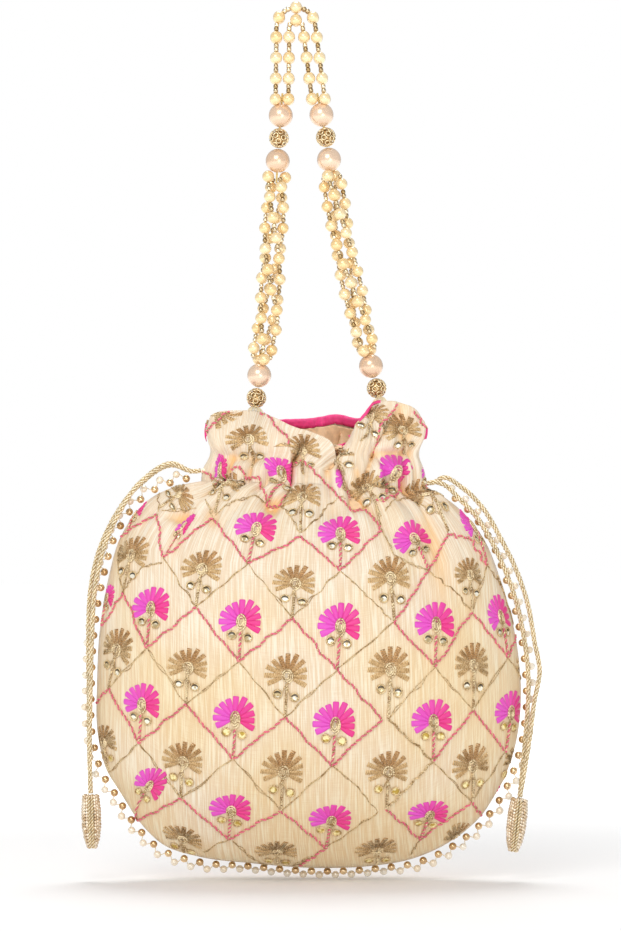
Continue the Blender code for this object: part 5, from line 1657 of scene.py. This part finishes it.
def braid(name, path):
    """A round braid: strands that wind one way over strands that wind the other, on a core; the core and the
    second strands are a darker copy of the cord, painted shade in the braid's gaps.
    """
    lift = [(0.0, -1.0, 0.12)]
    meshes = [twist(f"{name}_core", [path], lift, CORD_PAINTED_SHADE, strand_r=0.72, step=1.5, sides=8)]
    for turn, radius, finish in ((1, 0.44, CORD_LOOK), (-1, 0.36, CORD_PAINTED_SHADE)):
        meshes.append(twist(f"{name}_{turn}", [path], lift, finish, strands=BRAID_STRANDS, strand_r=radius,
                            twist_r=BRAID_R, pitch=BRAID_PITCH * turn, step=0.8, weave=BRAID_WEAVE,
                            weave_pitch=BRAID_PITCH / BRAID_STRANDS))
    return join_meshes(name, meshes)


def tassel(name, top, bottom):
    """Strings of seed beads side by side round a slim core."""
    top, bottom = np.array(top), np.array(bottom)
    axis = unit(bottom - top)
    front = unit(np.cross(np.cross(axis, (0.0, 1.0, 0.0)), axis))
    side = np.cross(axis, front)
    downs = np.array([down for down, _ in TASSEL_PROFILE])
    radii = np.array([radius for _, radius in TASSEL_PROFILE])

    def reach_at(down):
        return max(float(np.interp(down, downs, radii)) - 0.85, 0.7)

    spots = []
    aims = []
    shades = []
    for string in range(TASSEL_STRINGS):
        angle = math.tau * (string + RANDOM.uniform(-0.12, 0.12)) / TASSEL_STRINGS
        radial = math.cos(angle) * side + math.sin(angle) * front
        for down in np.arange(1.0 + RANDOM.uniform(-0.4, 0.4), TASSEL_STRING_LENGTH, TASSEL_BEAD_STEP):
            spots.append(top + axis * down + reach_at(down) * radial)
            aims.append(axis + (reach_at(down + 1.0) - reach_at(down)) * radial)
            shades.append(RANDOM.uniform())
    beads = scatter(name, SEED.copy(), spots, aims, RANDOM.uniform(0.7, 0.78, len(spots)), TASSEL_LOOK,
                    shade=shades)
    core = twist(name + "_core", [[top + axis * 0.6, top + axis * 25.0]], [(0.0, 1.0, 0.0)], THREAD_LOOK,
                 strand_r=TASSEL_CORE_R, step=4.0, sides=8)
    fall = np.linspace(0.4, TASSEL_STRING_LENGTH, 24)[:, None]
    outside = front * (np.interp(fall, downs, radii) - 0.35)
    runs = [top + axis * fall + offset * side - outside for offset in (-0.75, 0.75)]
    cords = [twist(name + "_cords", runs, [(0.0, -1.0, 0.12)] * 2, finish, strands=2, strand_r=0.36,
                   twist_r=0.4, pitch=3.4, step=0.5, phase=phase)
             for finish, phase in ((CORD_LOOK, 0.0), (CORD_PAINTED_SHADE, 0.25))]
    return join_meshes(name, [beads, core, *cords])


for SIDE_NAME, (TOP, BOTTOM) in TASSELS.items():
    add_piece(f"{SIDE_NAME}_bead_tassel", tassel(f"{SIDE_NAME}_tassel", *from_bag([TOP, BOTTOM])), "bag",
              replaced=[f"{SIDE_NAME}_tassel"])

for NAME, ROUTE in CORD_ROUTES.items():
    PATH = from_bag(smooth_curve(ROUTE, 260))
    SIDE_NAME, PLACE = NAME.split("_")
    CORD = add_piece(f"{SIDE_NAME}_cord_{PLACE}", braid(NAME, PATH), "bag",
                     replaced=[f"{SIDE_NAME}_drawcord_{PLACE}_run"])
    curve_length(ROUTE) * MM

for NODE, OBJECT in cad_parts.items():
    if NODE.endswith("_thread") or NODE.endswith("_in_casing"):
        for SLOT in OBJECT.material_slots:
            SLOT.material = THREAD_LOOK if NODE.endswith("_thread") else CORD_LOOK


# Floor, light and camera


WORLD_LEVEL = 0.505
FLOOR_REACH = 6.0
FLOOR_CLEARANCE = 0.0004
GLOW_FROM, GLOW_FULL = 0.5, 0.95
GLOW_BESIDE = (0.06, 0.06, 0.06)

# Each lamp: (name, place, aim, size, share of full light)
LAMPS = [("key", (-0.5, -1.6, 0.9), (0.0, 0.0, -0.25), 1.1, 0.38),
         ("fill", (0.5, -1.9, -0.15), (0.0, 0.0, -0.3), 0.7, 0.14),
         ("top", (0.0, 0.9, 2.0), (0.0, -0.05, -0.42), 1.1, 0.45)]


def floor_look(make):
    """Painted light: glows by itself away from the object, where no lamp reaches, and least beside it, so
    that the shadow shows there.
    """
    place = make.add("ShaderNodeTexCoord", None, (), "Object")
    away = make.add("ShaderNodeVectorMath", {"operation": "LENGTH"}, [place], "Value")
    return {"Emission Color": make.mix(make.step(away, GLOW_FROM, GLOW_FULL), GLOW_BESIDE, (1.0, 1.0, 1.0))}


def add_floor():
    mesh = bpy.data.meshes.new("floor")
    low = CAD_BOX[0][2] - FLOOR_CLEARANCE
    corners = [(x * FLOOR_REACH, y * FLOOR_REACH, low) for x, y in ((-1, -1), (1, -1), (1, 1), (-1, 1))]
    mesh.from_pydata(corners, [], [(0, 1, 2, 3)])
    floor = new_object("floor", mesh)
    mesh.materials.append(make_finish("floor_look", floor_look, Base_Color=(0.93, 0.93, 0.93, 1.0),
                                      Roughness=0.5, Specular_IOR_Level=0.1, Emission_Strength=0.54))


def add_lamp(name, place, aim, size, share):
    """A soft square lamp that lights a pale surface facing it to a share of full."""
    lamp = bpy.data.lights.new(name, "AREA")
    distance = float(np.linalg.norm(np.array(place) - np.array(aim)))
    lamp.energy = share * math.pi**2 * distance**2
    lamp.size = size
    holder = bpy.data.objects.new(name, lamp)
    holder.location = place
    holder.rotation_euler = (Vector(aim) - Vector(place)).to_track_quat("-Z", "Y").to_euler()
    bpy.context.scene.collection.objects.link(holder)


def add_world(level):
    world = bpy.data.worlds.new("studio")
    bpy.context.scene.world = world
    world.use_nodes = True
    make = NodeMaker(world.node_tree)
    background = world.node_tree.nodes["Background"]
    path = make.add("ShaderNodeLightPath", None, (), "Is Camera Ray")
    seen = path.math("MAXIMUM", path.of("Is Transmission Ray"))
    world.node_tree.links.new((seen * (1.0 - level) + level).socket, background.inputs["Strength"])
    background.inputs["Color"].default_value = (1.0, 1.0, 1.0, 1.0)


def add_camera():
    camera = bpy.data.cameras.new("camera")
    camera.sensor_fit = "VERTICAL"
    camera.lens = camera.sensor_height * CAMERA_DISTANCE / (PHOTO_HEIGHT * PIXEL_MM)
    camera.clip_end = 20.0
    holder = bpy.data.objects.new("camera", camera)
    holder.location = (CAMERA_X * MM, -CAMERA_DISTANCE * MM, CAMERA_Z * MM)
    holder.rotation_euler = (math.pi / 2, 0.0, 0.0)
    bpy.context.scene.collection.objects.link(holder)
    bpy.context.scene.camera = holder


add_floor()
add_world(WORLD_LEVEL)
for LAMP in LAMPS:
    add_lamp(*LAMP)
add_camera()
bpy.context.scene.view_settings.view_transform = "Standard"
